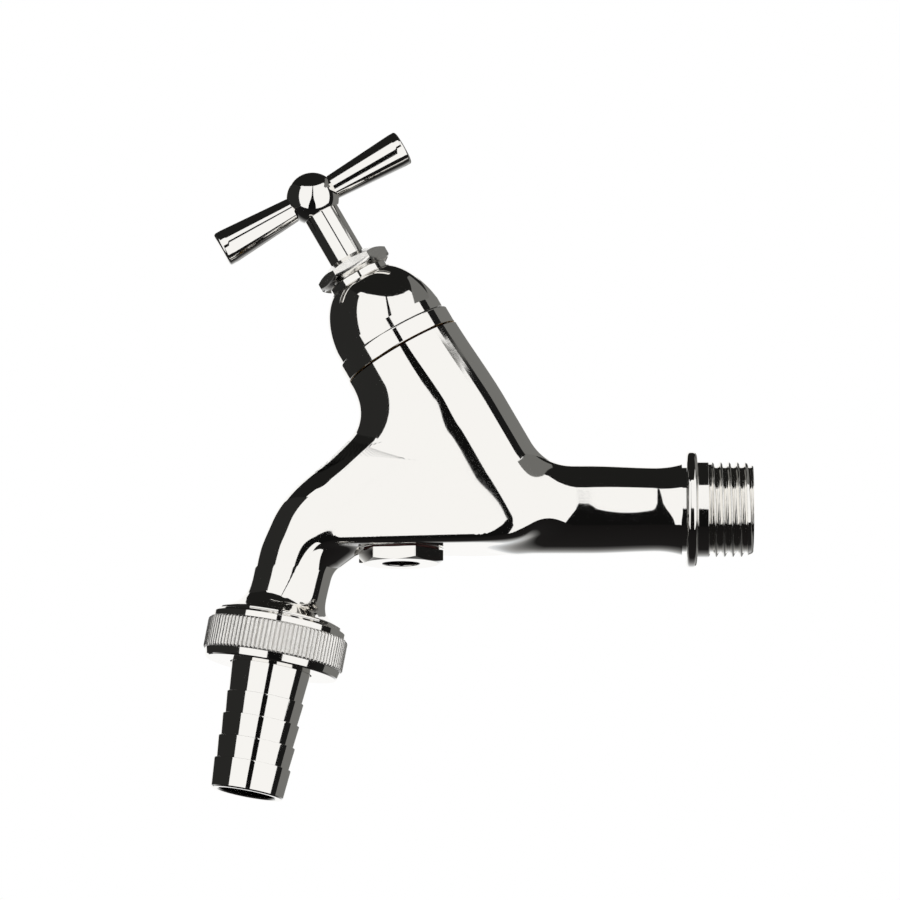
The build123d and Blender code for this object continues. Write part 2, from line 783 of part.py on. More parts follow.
pieces = {
    "tap_body": tap_body(),
    "bonnet": bonnet(),
    "bonnet_gasket": bonnet_gasket(),
    "dome_cover": dome_cover(),
    "gland_packing": gland_packing(),
    "gland_ring": gland_ring(),
    "gland_nut": gland_nut(),
    "spindle": spindle(),
    "valve_plate": valve_plate(),
    "seat_washer": seat_washer(),
    "washer_screw": washer_screw(),
    "jumper_clip": jumper_clip(),
    "handle_hub": handle_hub(),
    "handle_arm_left": handle_arm(-1),
    "handle_arm_right": handle_arm(1),
    "handle_grub_screw": handle_grub_screw(),
    "union_nut": union_nut(),
    "hose_tail": hose_tail(),
    "hose_washer": hose_washer(),
    "vent_plug": vent_plug(),
    "vent_gasket": vent_gasket(),
    "vent_seal_ring": vent_seal_ring(),
    "vent_disc": vent_disc(),
    "vent_cage": vent_cage(),
}

for name, shape in pieces.items():
    export_step(shape, f"parts/{name}.step")
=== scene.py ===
import math

import bpy
import numpy as np
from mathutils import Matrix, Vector


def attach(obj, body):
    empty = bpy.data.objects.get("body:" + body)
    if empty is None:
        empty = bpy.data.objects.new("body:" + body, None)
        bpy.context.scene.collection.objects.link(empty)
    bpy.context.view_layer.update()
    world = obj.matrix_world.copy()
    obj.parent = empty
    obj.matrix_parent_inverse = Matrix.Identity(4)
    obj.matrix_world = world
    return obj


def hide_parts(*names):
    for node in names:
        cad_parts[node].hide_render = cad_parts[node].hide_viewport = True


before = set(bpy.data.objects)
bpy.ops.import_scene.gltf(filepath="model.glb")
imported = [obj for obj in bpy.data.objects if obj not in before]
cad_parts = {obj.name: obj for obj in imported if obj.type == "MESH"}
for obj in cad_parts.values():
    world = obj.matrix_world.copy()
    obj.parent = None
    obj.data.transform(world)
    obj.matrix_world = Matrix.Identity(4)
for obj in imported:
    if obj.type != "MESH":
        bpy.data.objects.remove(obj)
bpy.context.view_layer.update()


# The casting: one hollow brass body with the barrel that leans back over the spout, the web, the bent
# spout and the tail to the wall. It is sand cast, ground, polished until no grinding mark is left, then
# nickel and chrome plated, so every blend is soft and the skin keeps slow waves from the polishing mop.
UP = np.array([-0.5, 0.0, math.sqrt(0.75)])
ACROSS = np.array([math.sqrt(0.75), 0.0, 0.5])
SIDE = np.array([0.0, 1.0, 0.0])
FOOT = np.array([-44.0, 0.0, 0.0])
BARREL_RADIUS = 13.3
BARREL_TOP = 39.5
BEND_CENTRE = np.array([-72.52, -18.5])
BEND_RADIUS = 16.5
BEND_START = math.radians(131.5)
BEND_END = math.radians(169.3)
UNDERSIDE = -8.7
TAIL_END = -3.3
COLLAR_RIM = 6.1
OUTLET = np.array([-91.46, 0.0, -29.86])
OUTLET_UP = np.array([math.sin(math.radians(10.7)), 0.0, math.cos(math.radians(10.7))])
OUTLET_ACROSS = np.array([OUTLET_UP[2], 0.0, -OUTLET_UP[0]])
ON_BARREL = (FOOT, UP, ACROSS)
ON_OUTLET = (OUTLET, OUTLET_UP, OUTLET_ACROSS)

# Where the barrel's front and back stand from its axis, and the front's swell below the dome.
BARREL_BACK = 13.6
BARREL_FRONT = 13.45
FRONT_SWELL = 0.95

# The straight line of the spout's back above the hollow one: its direction and its mm from the bend's centre.
BACK_LINE_WAY = math.radians(135.8)
BACK_LINE_OFF = 25.7

# Where the body ends below the tail's axis, and how far its flat underside drops away towards the outlet.
BODY_FOOT = -10.0
UNDERSIDE_DROP = 14.0

# How far the spout's middle shifts in past the bend and its upper side sinks, and where it and the tail end.
SPOUT_SHIFT = 0.95
SPOUT_SINK = 0.9
SPOUT_ROOT = 20.0
TAIL_ROOT = -38.0
COLLAR_TOP = 14.6

# Widths over which two shapes run into each other, in mm.
BACK_BLEND = 7.2
FOOT_BLEND = 5.0
UNDERSIDE_BLEND = 1.8
SPOUT_BLEND = 1.2
TAIL_BLEND = 3.0
TAIL_TOP_BLEND = 2.4
COLLAR_BLEND = 2.5


def ease(value, low, high):
    """0 below low, 1 above high, and three t squared less two t cubed between them."""
    t = np.clip((value - low) / (high - low), 0.0, 1.0)
    return t * t * (3.0 - 2.0 * t)


def join(a, b, width):
    """The smaller of two distances, less (width - gap) squared over 4 widths where gap is under width."""
    near = np.maximum(width - np.abs(a - b), 0.0)
    return np.minimum(a, b) - near * near / (4.0 * width)


def tail_radius(x):
    """Radius of the tail along X: 9.64 by the barrel, 0.46 less at the waist, then a bell mouth flare."""
    fall = 0.46 * ease(x, -23.5, -8.0)
    flare = 0.85 * np.clip((x + 9.5) / 6.2, 0.0, 1.0) ** 2.2
    return 9.64 - fall + flare


def spout_radius(run):
    """Radius of the spout by the run up from the bend: 7.95, then 0.09 wider a mm, then level at 10.56."""
    starts = np.logaddexp(0.0, (run + 11.5) / 3.0)
    stops = np.logaddexp(0.0, (run - 17.5) / 4.0)
    return 7.95 + 0.09 * (3.0 * starts - 4.0 * stops)


def half_width(back, height):
    """Half the body's width: level by the axis, then an eighth of a mm less per mm back, 7.8 past 44.

    The first level part ends 1 mm behind the axis at heights from 6 to 17, and 0.6 mm before it above 25 and
    below -4. From height 14 to 40 the width eases over to the barrel's own radius.
    """
    slope_ends = 3.0 * np.logaddexp(0.0, (44.0 - back) / 3.0)
    level_from = 1.6 * ease(height, 25.0, 17.0) * ease(height, -4.0, 6.0) - 0.6
    slope_starts = 0.9 * np.logaddexp(0.0, (level_from - back) / 0.9)
    cheek = 7.8 + 0.125 * (slope_ends - slope_starts)
    return cheek + (BARREL_RADIUS - cheek) * ease(height, 14.0, 40.0)


# The back of the spout as (degrees round the bend's centre, mm from it), a hollow line seen from the side.
SPOUT_BACK = np.array([
    (88.0, 38.6), (92.0, 35.9), (96.0, 33.7), (102.8, 31.0), (109.0, 29.3), (115.3, 28.2), (121.0, 27.6),
    (127.6, 27.0), (134.0, 26.3), (141.0, 25.4), (151.7, 24.1), (161.7, 23.5), (172.0, 23.6), (184.0, 24.7),
])
BACK_CURVE = np.polynomial.Polynomial.fit(np.radians(SPOUT_BACK[:, 0]), SPOUT_BACK[:, 1], 6)
BACK_SLOPE = BACK_CURVE.deriv()


def collar_radius(height):
    """Radius of the trumpet collar: 6.6 + 6.7 t to the power 2.6, with t from 1 at the rim to 0 at the top."""
    t = np.clip((COLLAR_TOP - height) / (COLLAR_TOP - COLLAR_RIM), 0.0, 1.0)
    return 6.6 + 6.7 * t ** 2.6


def body_distance(p):
    """How far the points p lie outside the casting's skin, in mm.

    Barrel and web: a stadium section, so the distance of (half width - depth, y) from the origin less half the
    width, with depth measured in from the outline seen from the side. Spout: distance from its bent middle
    line less its radius. Tail and collar: distance from their axes less their radii. All softly joined.
    """
    x, y, z = p[..., 0], p[..., 1], p[..., 2]
    across = (x - FOOT[0]) * ACROSS[0] + z * ACROSS[2]
    height = (x - FOOT[0]) * UP[0] + z * UP[2]
    qx, qz = x - BEND_CENTRE[0], z - BEND_CENTRE[1]
    away = np.hypot(qx, qz)
    turn = np.arctan2(qz, qx)
    turn = np.where(turn < -math.pi / 2, turn + 2 * math.pi, turn)
    bounded = np.clip(turn, math.radians(90.0), math.radians(184.0))
    curve = BACK_CURVE(bounded)
    behind_curve = (away - curve) / np.sqrt(1.0 + (BACK_SLOPE(bounded) / curve) ** 2)
    behind_line = qx * math.cos(BACK_LINE_WAY) + qz * math.sin(BACK_LINE_WAY) - BACK_LINE_OFF
    behind = behind_line + (behind_curve - behind_line) * ease(turn, math.radians(98.0), math.radians(116.0))
    wide = half_width(-across, height)
    in_from_front = BARREL_FRONT + FRONT_SWELL * ease(height, 42.0, 20.0) - across
    depth = np.minimum(-join(-across - BARREL_BACK, behind, BACK_BLEND), in_from_front)
    solid = np.hypot(np.maximum(wide - depth, 0.0), y) - wide
    solid = -join(-solid, height - BODY_FOOT, FOOT_BLEND)
    over_underside = z - UNDERSIDE + UNDERSIDE_DROP * ease(-x, 81.0, 93.0)
    solid = -join(-solid, over_underside, UNDERSIDE_BLEND)
    run_in = qx * math.sin(BEND_START) - qz * math.cos(BEND_START)
    run_out = qx * math.sin(BEND_END) - qz * math.cos(BEND_END) - BEND_RADIUS * (BEND_END - BEND_START)
    off_in = qx * math.cos(BEND_START) + qz * math.sin(BEND_START)
    off_out = qx * math.cos(BEND_END) + qz * math.sin(BEND_END)
    arc = -BEND_RADIUS * (turn - BEND_START)
    off = np.where(turn < BEND_START, off_in, np.where(turn > BEND_END, off_out, away))
    run = np.where(turn < BEND_START, run_in, np.where(turn > BEND_END, run_out, arc))
    centre = BEND_RADIUS - SPOUT_SHIFT * ease(-run, 1.0, 11.0)
    beyond = np.maximum(run - SPOUT_ROOT, 0.0)
    spout = np.sqrt((off - centre) ** 2 + y * y + beyond * beyond) - spout_radius(run)
    solid = join(solid, spout + SPOUT_SINK * ease(z, -9.0, -1.0), SPOUT_BLEND)
    before = np.maximum(TAIL_ROOT - x, 0.0)
    tail = np.sqrt(y * y + z * z + before * before) - tail_radius(x)
    solid = join(solid, tail, TAIL_BLEND + TAIL_TOP_BLEND * ease(z, -5.0, 6.0))
    out_up = (x - OUTLET[0]) * OUTLET_UP[0] + (z - OUTLET[2]) * OUTLET_UP[2]
    out_across = (x - OUTLET[0]) * OUTLET_ACROSS[0] + (z - OUTLET[2]) * OUTLET_ACROSS[2]
    collar = np.maximum(np.hypot(out_across, y) - collar_radius(out_up), out_up - COLLAR_TOP)
    return join(solid, collar, COLLAR_BLEND)


def slope(p, step=0.01):
    """Unit normal of the skin: differences of the distance along X, Y and Z, scaled to length one."""
    grad = np.stack([body_distance(p + d) - body_distance(p - d) for d in np.eye(3) * step], axis=-1)
    return grad / np.linalg.norm(grad, axis=-1, keepdims=True)


def skin_strip(middle, outward, columns):
    """Points of the skin: from a middle point rays turn from -Y over outward to +Y and stop on the skin."""
    angle = np.linspace(-math.pi / 2, math.pi / 2, columns)
    side = np.sin(angle)
    out = np.cos(angle)
    out[0] = out[-1] = 0.0
    ray = outward[:, None, :] * out[None, :, None] + SIDE * side[None, :, None]
    reach = np.zeros(ray.shape[:2])
    done = np.zeros(ray.shape[:2], bool)
    for step in np.arange(0.5, 40.0, 0.5):
        outside = body_distance(middle[:, None, :] + ray * step) > 0
        reach = np.where(done, reach, step)
        done |= outside
    low, high = reach - 0.5, reach
    for _ in range(22):
        mid = (low + high) / 2
        outside = body_distance(middle[:, None, :] + ray * mid[..., None]) > 0
        high = np.where(outside, mid, high)
        low = np.where(outside, low, mid)
    return middle[:, None, :] + ray * ((low + high) / 2)[..., None]


def mesh_of_grids(name, grids):
    """One mesh from grids of points in mm with normals: four neighbours make a face, equal points merge."""
    corners, places, normals, first = [], [], [], 0
    for points, normal in grids:
        rows, columns = points.shape[:2]
        index = first + np.arange(rows * columns).reshape(rows, columns)
        face = np.stack([index[:-1, :-1], index[1:, :-1], index[1:, 1:], index[:-1, 1:]], axis=-1)
        flat = points[1:, 1:] - points[:-1, :-1]
        turned = points[:-1, 1:] - points[1:, :-1]
        outward = np.sum(np.cross(flat, turned) * normal[:-1, :-1])
        face = face.reshape(-1, 4)
        corners.append(face if outward > 0 else face[:, ::-1])
        places.append(points.reshape(-1, 3))
        normals.append(normal.reshape(-1, 3))
        first += rows * columns
    corners, places, normals = np.concatenate(corners), np.concatenate(places), np.concatenate(normals)
    _, chosen, merged = np.unique(np.round(places, 4), axis=0, return_index=True, return_inverse=True)
    merged = merged.reshape(-1)
    of_face = merged[corners]
    keep = of_face != np.roll(of_face, 1, axis=1)
    keep[(of_face[:, 0] == of_face[:, 2]) | (of_face[:, 1] == of_face[:, 3])] = False
    sides = keep.sum(axis=1)
    corners, of_face, keep, sides = (part[sides > 2] for part in (corners, of_face, keep, sides))
    mesh = bpy.data.meshes.new(name)
    mesh.vertices.add(len(chosen))
    mesh.vertices.foreach_set("co", (places[chosen] * 0.001).astype(np.float32).ravel())
    mesh.loops.add(int(sides.sum()))
    mesh.loops.foreach_set("vertex_index", of_face[keep].astype(np.int32))
    mesh.polygons.add(len(sides))
    mesh.polygons.foreach_set("loop_start", (np.cumsum(sides) - sides).astype(np.int32))
    mesh.polygons.foreach_set("use_smooth", np.ones(len(sides), bool))
    mesh.update(calc_edges=True)
    mesh.validate()
    if len(mesh.loops) == int(sides.sum()):
        mesh.normals_split_custom_set(normals[corners[keep]].astype(np.float32))
    else:
        print("corners lost in", name, len(mesh.loops), int(sides.sum()))
    return mesh


def piece(name, grids, material, body, *nodes):
    """A named object of those grids that rides on a body and stands for those nodes of the frame."""
    thing = bpy.data.objects.new(name, mesh_of_grids(name, grids))
    bpy.context.scene.collection.objects.link(thing)
    thing.data.materials.append(material)
    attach(thing, body)
    if nodes:
        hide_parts(*nodes)
    return thing


def linear(code):
    """sRGB hex to linear: v over 12.92 below 0.04045, else (v + 0.055) over 1.055 to the power 2.4."""
    values = [int(code[i:i + 2], 16) / 255 for i in (1, 3, 5)]
    return [v / 12.92 if v <= 0.04045 else ((v + 0.055) / 1.055) ** 2.4 for v in values] + [1.0]


def node(material, kind, settings=None, links=None):
    """A node of that kind in the material, with its attributes or input values, and links into its inputs."""
    made = material.node_tree.nodes.new(kind)
    for key, value in (settings or {}).items():
        if key in made.inputs:
            made.inputs[key].default_value = value
        else:
            setattr(made, key, value)
    for key, socket in (links or {}).items():
        material.node_tree.links.new(socket, made.inputs[key])
    return made


# Bright chrome plate on polished brass: a neutral mirror that is a touch warm. The eye gets slow waves of
# 6 mm from the mop, hairlines of 0.15 mm where it has been wiped, and a haze that varies over the skin.
def chrome_plate(name, roughness, wave=0.03):
    """Metal: roughness is cloud noise times hairlines, the bump is slow waves, all on Object coordinates."""
    metal = bpy.data.materials.new(name)
    metal.use_nodes = True
    shader = metal.node_tree.nodes["Principled BSDF"]
    shader.inputs["Base Color"].default_value = linear("#F6F4F0")
    shader.inputs["Metallic"].default_value = 1.0
    place = node(metal, "ShaderNodeTexCoord").outputs["Object"]
    haze = node(metal, "ShaderNodeTexNoise", {"Scale": 90.0, "Detail": 3.0}, {"Vector": place})
    squeeze = {"Scale": (900.0, 900.0, 6500.0), "Rotation": (0.3, 0.5, 0.2)}
    stretched = node(metal, "ShaderNodeMapping", squeeze, {"Vector": place})
    fine = {"Scale": 1.0, "Detail": 2.0}
    hairline = node(metal, "ShaderNodeTexNoise", fine, {"Vector": stretched.outputs[0]})
    pair = {0: haze.outputs[0], 1: hairline.outputs[0]}
    both = node(metal, "ShaderNodeMath", {"operation": "MULTIPLY"}, pair)
    spread = {"From Min": 0.12, "From Max": 0.45, "To Min": roughness * 0.5, "To Max": roughness * 1.6}
    rough = node(metal, "ShaderNodeMapRange", spread, {"Value": both.outputs[0]})
    metal.node_tree.links.new(rough.outputs[0], shader.inputs["Roughness"])
    slow = {"Scale": 160.0, "Detail": 1.0, "Roughness": 0.3}
    waves = node(metal, "ShaderNodeTexNoise", slow, {"Vector": place})
    relief = {"Strength": 1.0, "Distance": wave * 0.001}
    bump = node(metal, "ShaderNodeBump", relief, {"Height": waves.outputs[0]})
    metal.node_tree.links.new(bump.outputs[0], shader.inputs["Normal"])
    return metal


polished_chrome = chrome_plate("polished_chrome_plate", 0.05, 0.005)


def on_bend(turn):
    """Points of the spout's middle line round the bend: centre + radius (cos t, sin t) in the XZ plane."""
    x = BEND_CENTRE[0] + BEND_RADIUS * np.cos(turn)
    z = BEND_CENTRE[1] + BEND_RADIUS * np.sin(turn)
    return np.stack([x, 0 * turn, z], axis=-1)


top = FOOT + UP * BARREL_TOP
fork = FOOT + UP * 9.0
barrel_heights = np.linspace(BARREL_TOP, 9.0, 56)
barrel_middle = FOOT + barrel_heights[:, None] * UP
tail_x = np.linspace(TAIL_END, TAIL_ROOT, 66)
tail_middle = np.stack([tail_x, 0 * tail_x, 0 * tail_x], axis=-1)
reach_in = np.linspace(0, 1, 19)[1:-1, None]
tail_middle = np.concatenate([tail_middle, tail_middle[-1] + (fork - tail_middle[-1]) * reach_in])
bend_turn = np.linspace(BEND_END, BEND_START, 26)
bend_middle = on_bend(bend_turn)
outlet_heights = np.linspace(COLLAR_RIM, 14.68, 22)[:-1, None]
outlet_middle = OUTLET + outlet_heights * OUTLET_UP
run_lengths = np.linspace(0, 17.0, 30)[1:, None]
run_middle = bend_middle[-1] + run_lengths * np.array([math.sin(BEND_START), 0, -math.cos(BEND_START)])
blend_in = np.linspace(0, 1, 42)[1:-1, None]
run_middle = np.concatenate([run_middle, run_middle[-1] + (fork - run_middle[-1]) * blend_in])
spout_middle = np.concatenate([outlet_middle, bend_middle, run_middle])


def directions(points, angles):
    """Unit vectors in the XZ plane at angles in degrees, eased along the middle line by its length."""
    along = np.concatenate([[0], np.cumsum(np.linalg.norm(np.diff(points, axis=0), axis=1))])
    places = np.array([place if place >= 0 else along[-1] + place for place, _ in angles])
    values = np.array([value for _, value in angles])
    step = np.clip(np.searchsorted(places, along, side="right") - 1, 0, len(places) - 2)
    t = np.clip((along - places[step]) / (places[step + 1] - places[step]), 0, 1)
    t = t * t * (3 - 2 * t)
    angle = np.radians(values[step] + (values[step + 1] - values[step]) * t)
    return np.stack([np.cos(angle), 0 * angle, np.sin(angle)], axis=-1)


right_path = np.concatenate([barrel_middle, tail_middle[::-1]])
low_path = np.concatenate([tail_middle, [fork], spout_middle[::-1]])
left_path = np.concatenate([spout_middle, [fork], barrel_middle[::-1][1:]])
right_way = directions(right_path, [(0.0, 30.0), (14.0, 30.0), (48.0, 90.0), (-0.001, 90.0)])
low_way = directions(low_path, [(0.0, -90.0), (62.0, -90.0), (84.0, -56.0), (97.0, -10.7), (-0.001, -10.7)])
left_way = directions(left_path, [
    (0.0, 169.3), (8.6, 169.3), (20.5, 134.0), (36.0, 137.0), (62.0, 176.0), (76.0, 210.0), (-0.001, 210.0),
])
columns = 81
ways = ((right_path, right_way), (low_path, low_way), (left_path, left_way))
strips = [skin_strip(path, way, columns) for path, way in ways]
skin = [(strip, slope(strip)) for strip in strips]
piece("casting_skin", skin, polished_chrome, "valve_body", "tap_body")


# The wall end of the casting: groove, flange and the G 1/2 male thread, 55 degrees at 1.814 mm. It is turned
# and cut after casting and plated with the rest, so the edges are crisp and the crests are a little rounded.
PIPE_PITCH = 1.814
PIPE_DEPTH = 1.162
INLET_MAJOR = 10.478
INLET_BORE = 6.6
THREAD_END = 12.2
INLET_WAY = np.array([1.0, 0.0, 0.0])
INLET_CROSS = np.array([0.0, 0.0, 1.0])
WALL_FACE = np.zeros(3)
ON_INLET = (WALL_FACE, INLET_WAY, INLET_CROSS)


def outline(*corners):
    """Profile rows (radius, height, normal) through corners (radius, height, rounding), metal at left.

    The normal of a run (dr, dh) is (dh, -dr). A rounded corner is an arc of six points, whose centre lies
    rounding times (a + b) / (1 + a.b) from the corner, with a and b the two normals. A sharp one has both.
    """
    corners = np.array([(tuple(corner) + (0.0,))[:3] for corner in corners])
    run = np.diff(corners[:, :2], axis=0)
    run /= np.linalg.norm(run, axis=1)[:, None]
    normal = np.stack([run[:, 1], -run[:, 0]], axis=-1)
    rows = [np.hstack([corners[0, :2], normal[0]])]
    for corner, a, b in zip(corners[1:-1], normal[:-1], normal[1:]):
        turn = math.atan2(a[0] * b[1] - a[1] * b[0], a @ b)
        step = np.linspace(0.0, turn, 6 if corner[2] else 2)[:, None]
        way = a * np.cos(step) + np.array([-a[1], a[0]]) * np.sin(step)
        size = math.copysign(corner[2], turn)
        rows.append(np.hstack([corner[:2] - size * (a + b) / (1.0 + a @ b) + size * way, way]))
    rows.append(np.hstack([corners[-1, :2], normal[-1]]))
    return np.vstack(rows)


def turned(profile, origin, up, across, columns=97):
    """Grid and normals of a turned profile: origin + height up + radius (across cos a + side sin a)."""
    angle = np.linspace(0.0, 2.0 * math.pi, columns)
    angle[-1] = 0.0
    way = across * np.cos(angle)[:, None] + np.cross(up, across) * np.sin(angle)[:, None]
    points = origin + profile[:, 1, None, None] * up + profile[:, 0, None, None] * way
    return points, profile[:, 3, None, None] * up + profile[:, 2, None, None] * way


def wall(radius_at, heights, origin, up, across, columns, facing=1.0):
    """Grid and normals of a wall of radius r(a, h): the normal is out, less r_a / r round, less r_h up."""
    angle = np.linspace(0.0, 2.0 * math.pi, columns)
    angle[-1] = 0.0
    h, a = np.meshgrid(heights, angle, indexing="ij")
    r = radius_at(a, h)
    round_slope = (radius_at(a + 1e-4, h) - radius_at(a - 1e-4, h)) / (2e-4 * r)
    up_slope = (radius_at(a, h + 1e-4) - radius_at(a, h - 1e-4)) / 2e-4
    side = np.cross(up, across)
    out = across * np.cos(a)[..., None] + side * np.sin(a)[..., None]
    on = side * np.cos(a)[..., None] - across * np.sin(a)[..., None]
    normal = out - round_slope[..., None] * on - up_slope[..., None] * up
    normal *= facing / np.linalg.norm(normal, axis=-1, keepdims=True)
    return origin + h[..., None] * up + r[..., None] * out, normal


def ring_face(radius_at, radius, height, origin, up, across, columns, facing):
    """Flat ring at one height from a circle to the edge r(a) of a shaped wall, facing up (1) or down (-1)."""
    angle = np.linspace(0.0, 2.0 * math.pi, columns)
    angle[-1] = 0.0
    reach = np.stack([0.0 * angle + radius, radius_at(angle, height)])
    out = across * np.cos(angle)[:, None] + np.cross(up, across) * np.sin(angle)[:, None]
    points = origin + height * up + reach[..., None] * out
    return points, np.zeros_like(points) + facing * up


def whitworth(major, first):
    """Radius r(a, h) of a right-hand pipe thread: triangles 0.96 pitch high, softly cut to thread depth."""
    def radius_at(angle, height):
        phase = (height - first) / PIPE_PITCH - angle / (2.0 * math.pi)
        flank = 0.9605 * PIPE_PITCH * (0.5 - 2.0 * np.abs(phase - np.round(phase)))
        wave = join(flank, PIPE_DEPTH / 2, 0.40)
        return major - PIPE_DEPTH / 2 - join(-wave, PIPE_DEPTH / 2, 0.40)
    return radius_at


cut_thread = whitworth(INLET_MAJOR, 1.41)


def inlet_radius(angle, height):
    """The thread, faded in over 0.8 mm from the plain neck and kept under the chamfer at the free end."""
    radius = INLET_MAJOR - (INLET_MAJOR - cut_thread(angle, height)) * ease(height, 2.3, 3.1)
    return join(radius, INLET_MAJOR - 0.9 * (height - THREAD_END + 1.9) / 1.9, 0.1)


wall_end = [
    turned(outline(
        (tail_radius(TAIL_END), TAIL_END), (9.3, TAIL_END), (9.3, -2.4), (12.65, -2.4, 0.9),
        (12.65, 0.0, 0.9), (INLET_MAJOR, 0.0, 0.2), (INLET_MAJOR, 2.3),
    ), *ON_INLET, 161),
    wall(inlet_radius, np.linspace(2.3, THREAD_END, 130), *ON_INLET, 161),
    ring_face(inlet_radius, INLET_BORE + 0.4, THREAD_END, *ON_INLET, 161, 1.0),
]
piece("wall_flange_and_thread", wall_end, polished_chrome, "valve_body", "tap_body")


# The outlet end of the casting: the rim of the trumpet collar, the G 3/4 male thread that the union nut runs
# on, and the faced mouth that the hose washer seals against. It is turned in one chucking with the bore.
OUTLET_MAJOR = 13.22
OUTLET_END = -0.26
MOUTH = 8.0
SPOUT_BORE = 5.7
outlet_cut = whitworth(OUTLET_MAJOR, OUTLET_END - PIPE_PITCH / 2)


def outlet_radius(angle, height):
    """The thread under a lead-in cone at its free end, faded out over the last 0.6 mm under the collar."""
    radius = OUTLET_MAJOR - (OUTLET_MAJOR - outlet_cut(angle, height)) * ease(height, 5.7, 5.1)
    return join(radius, OUTLET_MAJOR - PIPE_DEPTH + PIPE_DEPTH * (height - OUTLET_END) / 1.3, 0.1)


outlet_end = [
    turned(outline(
        (SPOUT_BORE, 3.74), (MOUTH, 3.74), (MOUTH, OUTLET_END, 0.2), (11.6, OUTLET_END),
    ), *ON_OUTLET, 161),
    ring_face(outlet_radius, 11.6, OUTLET_END, *ON_OUTLET, 161, -1.0),
    wall(outlet_radius, np.linspace(OUTLET_END, 5.75, 80), *ON_OUTLET, 161),
    turned(outline(
        (OUTLET_MAJOR, 5.75), (collar_radius(COLLAR_RIM), 5.82, 0.05),
        (collar_radius(COLLAR_RIM), COLLAR_RIM),
    ), *ON_OUTLET, 161),
]
piece("outlet_thread_and_mouth", outlet_end, polished_chrome, "valve_body", "tap_body")


# The inside of the casting: inlet bore, chamber under the head work and the bent passage to the mouth. The
# chamber and bores are machined, the bend is left as the sand core made it, dull yellow brass with a grain.
CHAMBER = 9.5
BONNET_THREAD = 10.05
VENT = np.array([-64.2, 0.0, 0.0])
VENT_UP = np.array([0.0, 0.0, 1.0])
VENT_CROSS = np.array([1.0, 0.0, 0.0])
ON_VENT = (VENT, VENT_UP, VENT_CROSS)
VENT_BOSS = -8.8
VENT_HOLE = 6.0
cast_brass = bpy.data.materials.new("cast_and_bored_brass")
cast_brass.use_nodes = True
grain_place = node(cast_brass, "ShaderNodeTexCoord").outputs["Object"]
grain = {"Scale": 2600.0, "Detail": 4.0, "Roughness": 0.6}
sand_grain = node(cast_brass, "ShaderNodeTexNoise", grain, {"Vector": grain_place})
sand_blotch = node(cast_brass, "ShaderNodeTexNoise", {"Scale": 140.0, "Detail": 3.0}, {"Vector": grain_place})
sand_colour = node(cast_brass, "ShaderNodeValToRGB", None, {"Fac": sand_blotch.outputs[0]})
sand_colour.color_ramp.elements[0].color = linear("#8A6C38")
sand_colour.color_ramp.elements[1].color = linear("#C9A75E")
grain_relief = {"Strength": 0.8, "Distance": 0.00012}
sand_relief = node(cast_brass, "ShaderNodeBump", grain_relief, {"Height": sand_grain.outputs[0]})
dull = {"To Min": 0.38, "To Max": 0.62}
sand_dull = node(cast_brass, "ShaderNodeMapRange", dull, {"Value": sand_grain.outputs[0]})
cast_shader = cast_brass.node_tree.nodes["Principled BSDF"]
cast_shader.inputs["Metallic"].default_value = 1.0
for socket, source in (("Base Color", sand_colour), ("Normal", sand_relief), ("Roughness", sand_dull)):
    cast_brass.node_tree.links.new(source.outputs[0], cast_shader.inputs[socket])


def tube_inside(middle, radius, columns=49):
    """Grid and normals of a bore along a line in the XZ plane: middle + radius (side cos a + cross sin a)."""
    along = np.gradient(middle, axis=0)
    along /= np.linalg.norm(along, axis=1, keepdims=True)
    cross = np.cross(SIDE, along)
    angle = np.linspace(0.0, 2.0 * math.pi, columns)
    angle[-1] = 0.0
    out = SIDE * np.cos(angle)[None, :, None] + cross[:, None, :] * np.sin(angle)[None, :, None]
    return middle[:, None, :] + radius[:, None, None] * out, -out


bore_turn = np.radians(np.linspace(169.3, 128.0, 24))
bore_bend = on_bend(bore_turn)
bore_way = np.array([math.sin(bore_turn[-1]), 0.0, -math.cos(bore_turn[-1])])
bore_run = np.linspace(0.0, 24.0, 6)[1:, None] * bore_way
bore_mouth = OUTLET + np.linspace(3.74, 14.0, 6)[:, None] * OUTLET_UP
bore_line = np.concatenate([bore_mouth, bore_bend, bore_bend[-1] + bore_run])
bore_line = np.concatenate([bore_line, bore_line[-1:] + 1e-3 * bore_run[:1]])
bore_radius = np.append(np.full(len(bore_line) - 1, SPOUT_BORE), 0.0)
chamber_edge = np.concatenate([strips[0][0], strips[2][-1][::-1][1:]])
chamber_out = chamber_edge - top
chamber_out /= np.linalg.norm(chamber_out, axis=1, keepdims=True)
water_ways = [
    turned(outline(
        (INLET_BORE + 0.4, THREAD_END), (INLET_BORE, THREAD_END - 0.4), (INLET_BORE, -44.0, 6.4),
        (0.0, -44.01),
    ), *ON_INLET, 65),
    tube_inside(bore_line, bore_radius),
    turned(outline(
        (BONNET_THREAD, BARREL_TOP), (BONNET_THREAD, 28.5), (CHAMBER, 28.5), (CHAMBER, 14.0, 1.0),
        (0.0, 14.0),
    ), *ON_BARREL, 161),
    turned(outline((0.0, 2.1), (VENT_HOLE, 2.1), (VENT_HOLE, VENT_BOSS)), *ON_VENT, 65),
    (np.stack([top + BONNET_THREAD * chamber_out, chamber_edge]), np.zeros((2,) + chamber_edge.shape) + UP),
]
piece("water_ways", water_ways, cast_brass, "valve_body", "tap_body")


# The faced boss under the spout that the air inlet plug screws up against. It is spot faced flat in the drill
# press, so it stands only a tenth of a mm below the polished underside.
boss = turned(outline((VENT_HOLE, VENT_BOSS), (9.3, VENT_BOSS, 0.25), (9.3, -7.6)), *ON_VENT, 97)
piece("air_inlet_boss", [boss], polished_chrome, "valve_body", "tap_body")


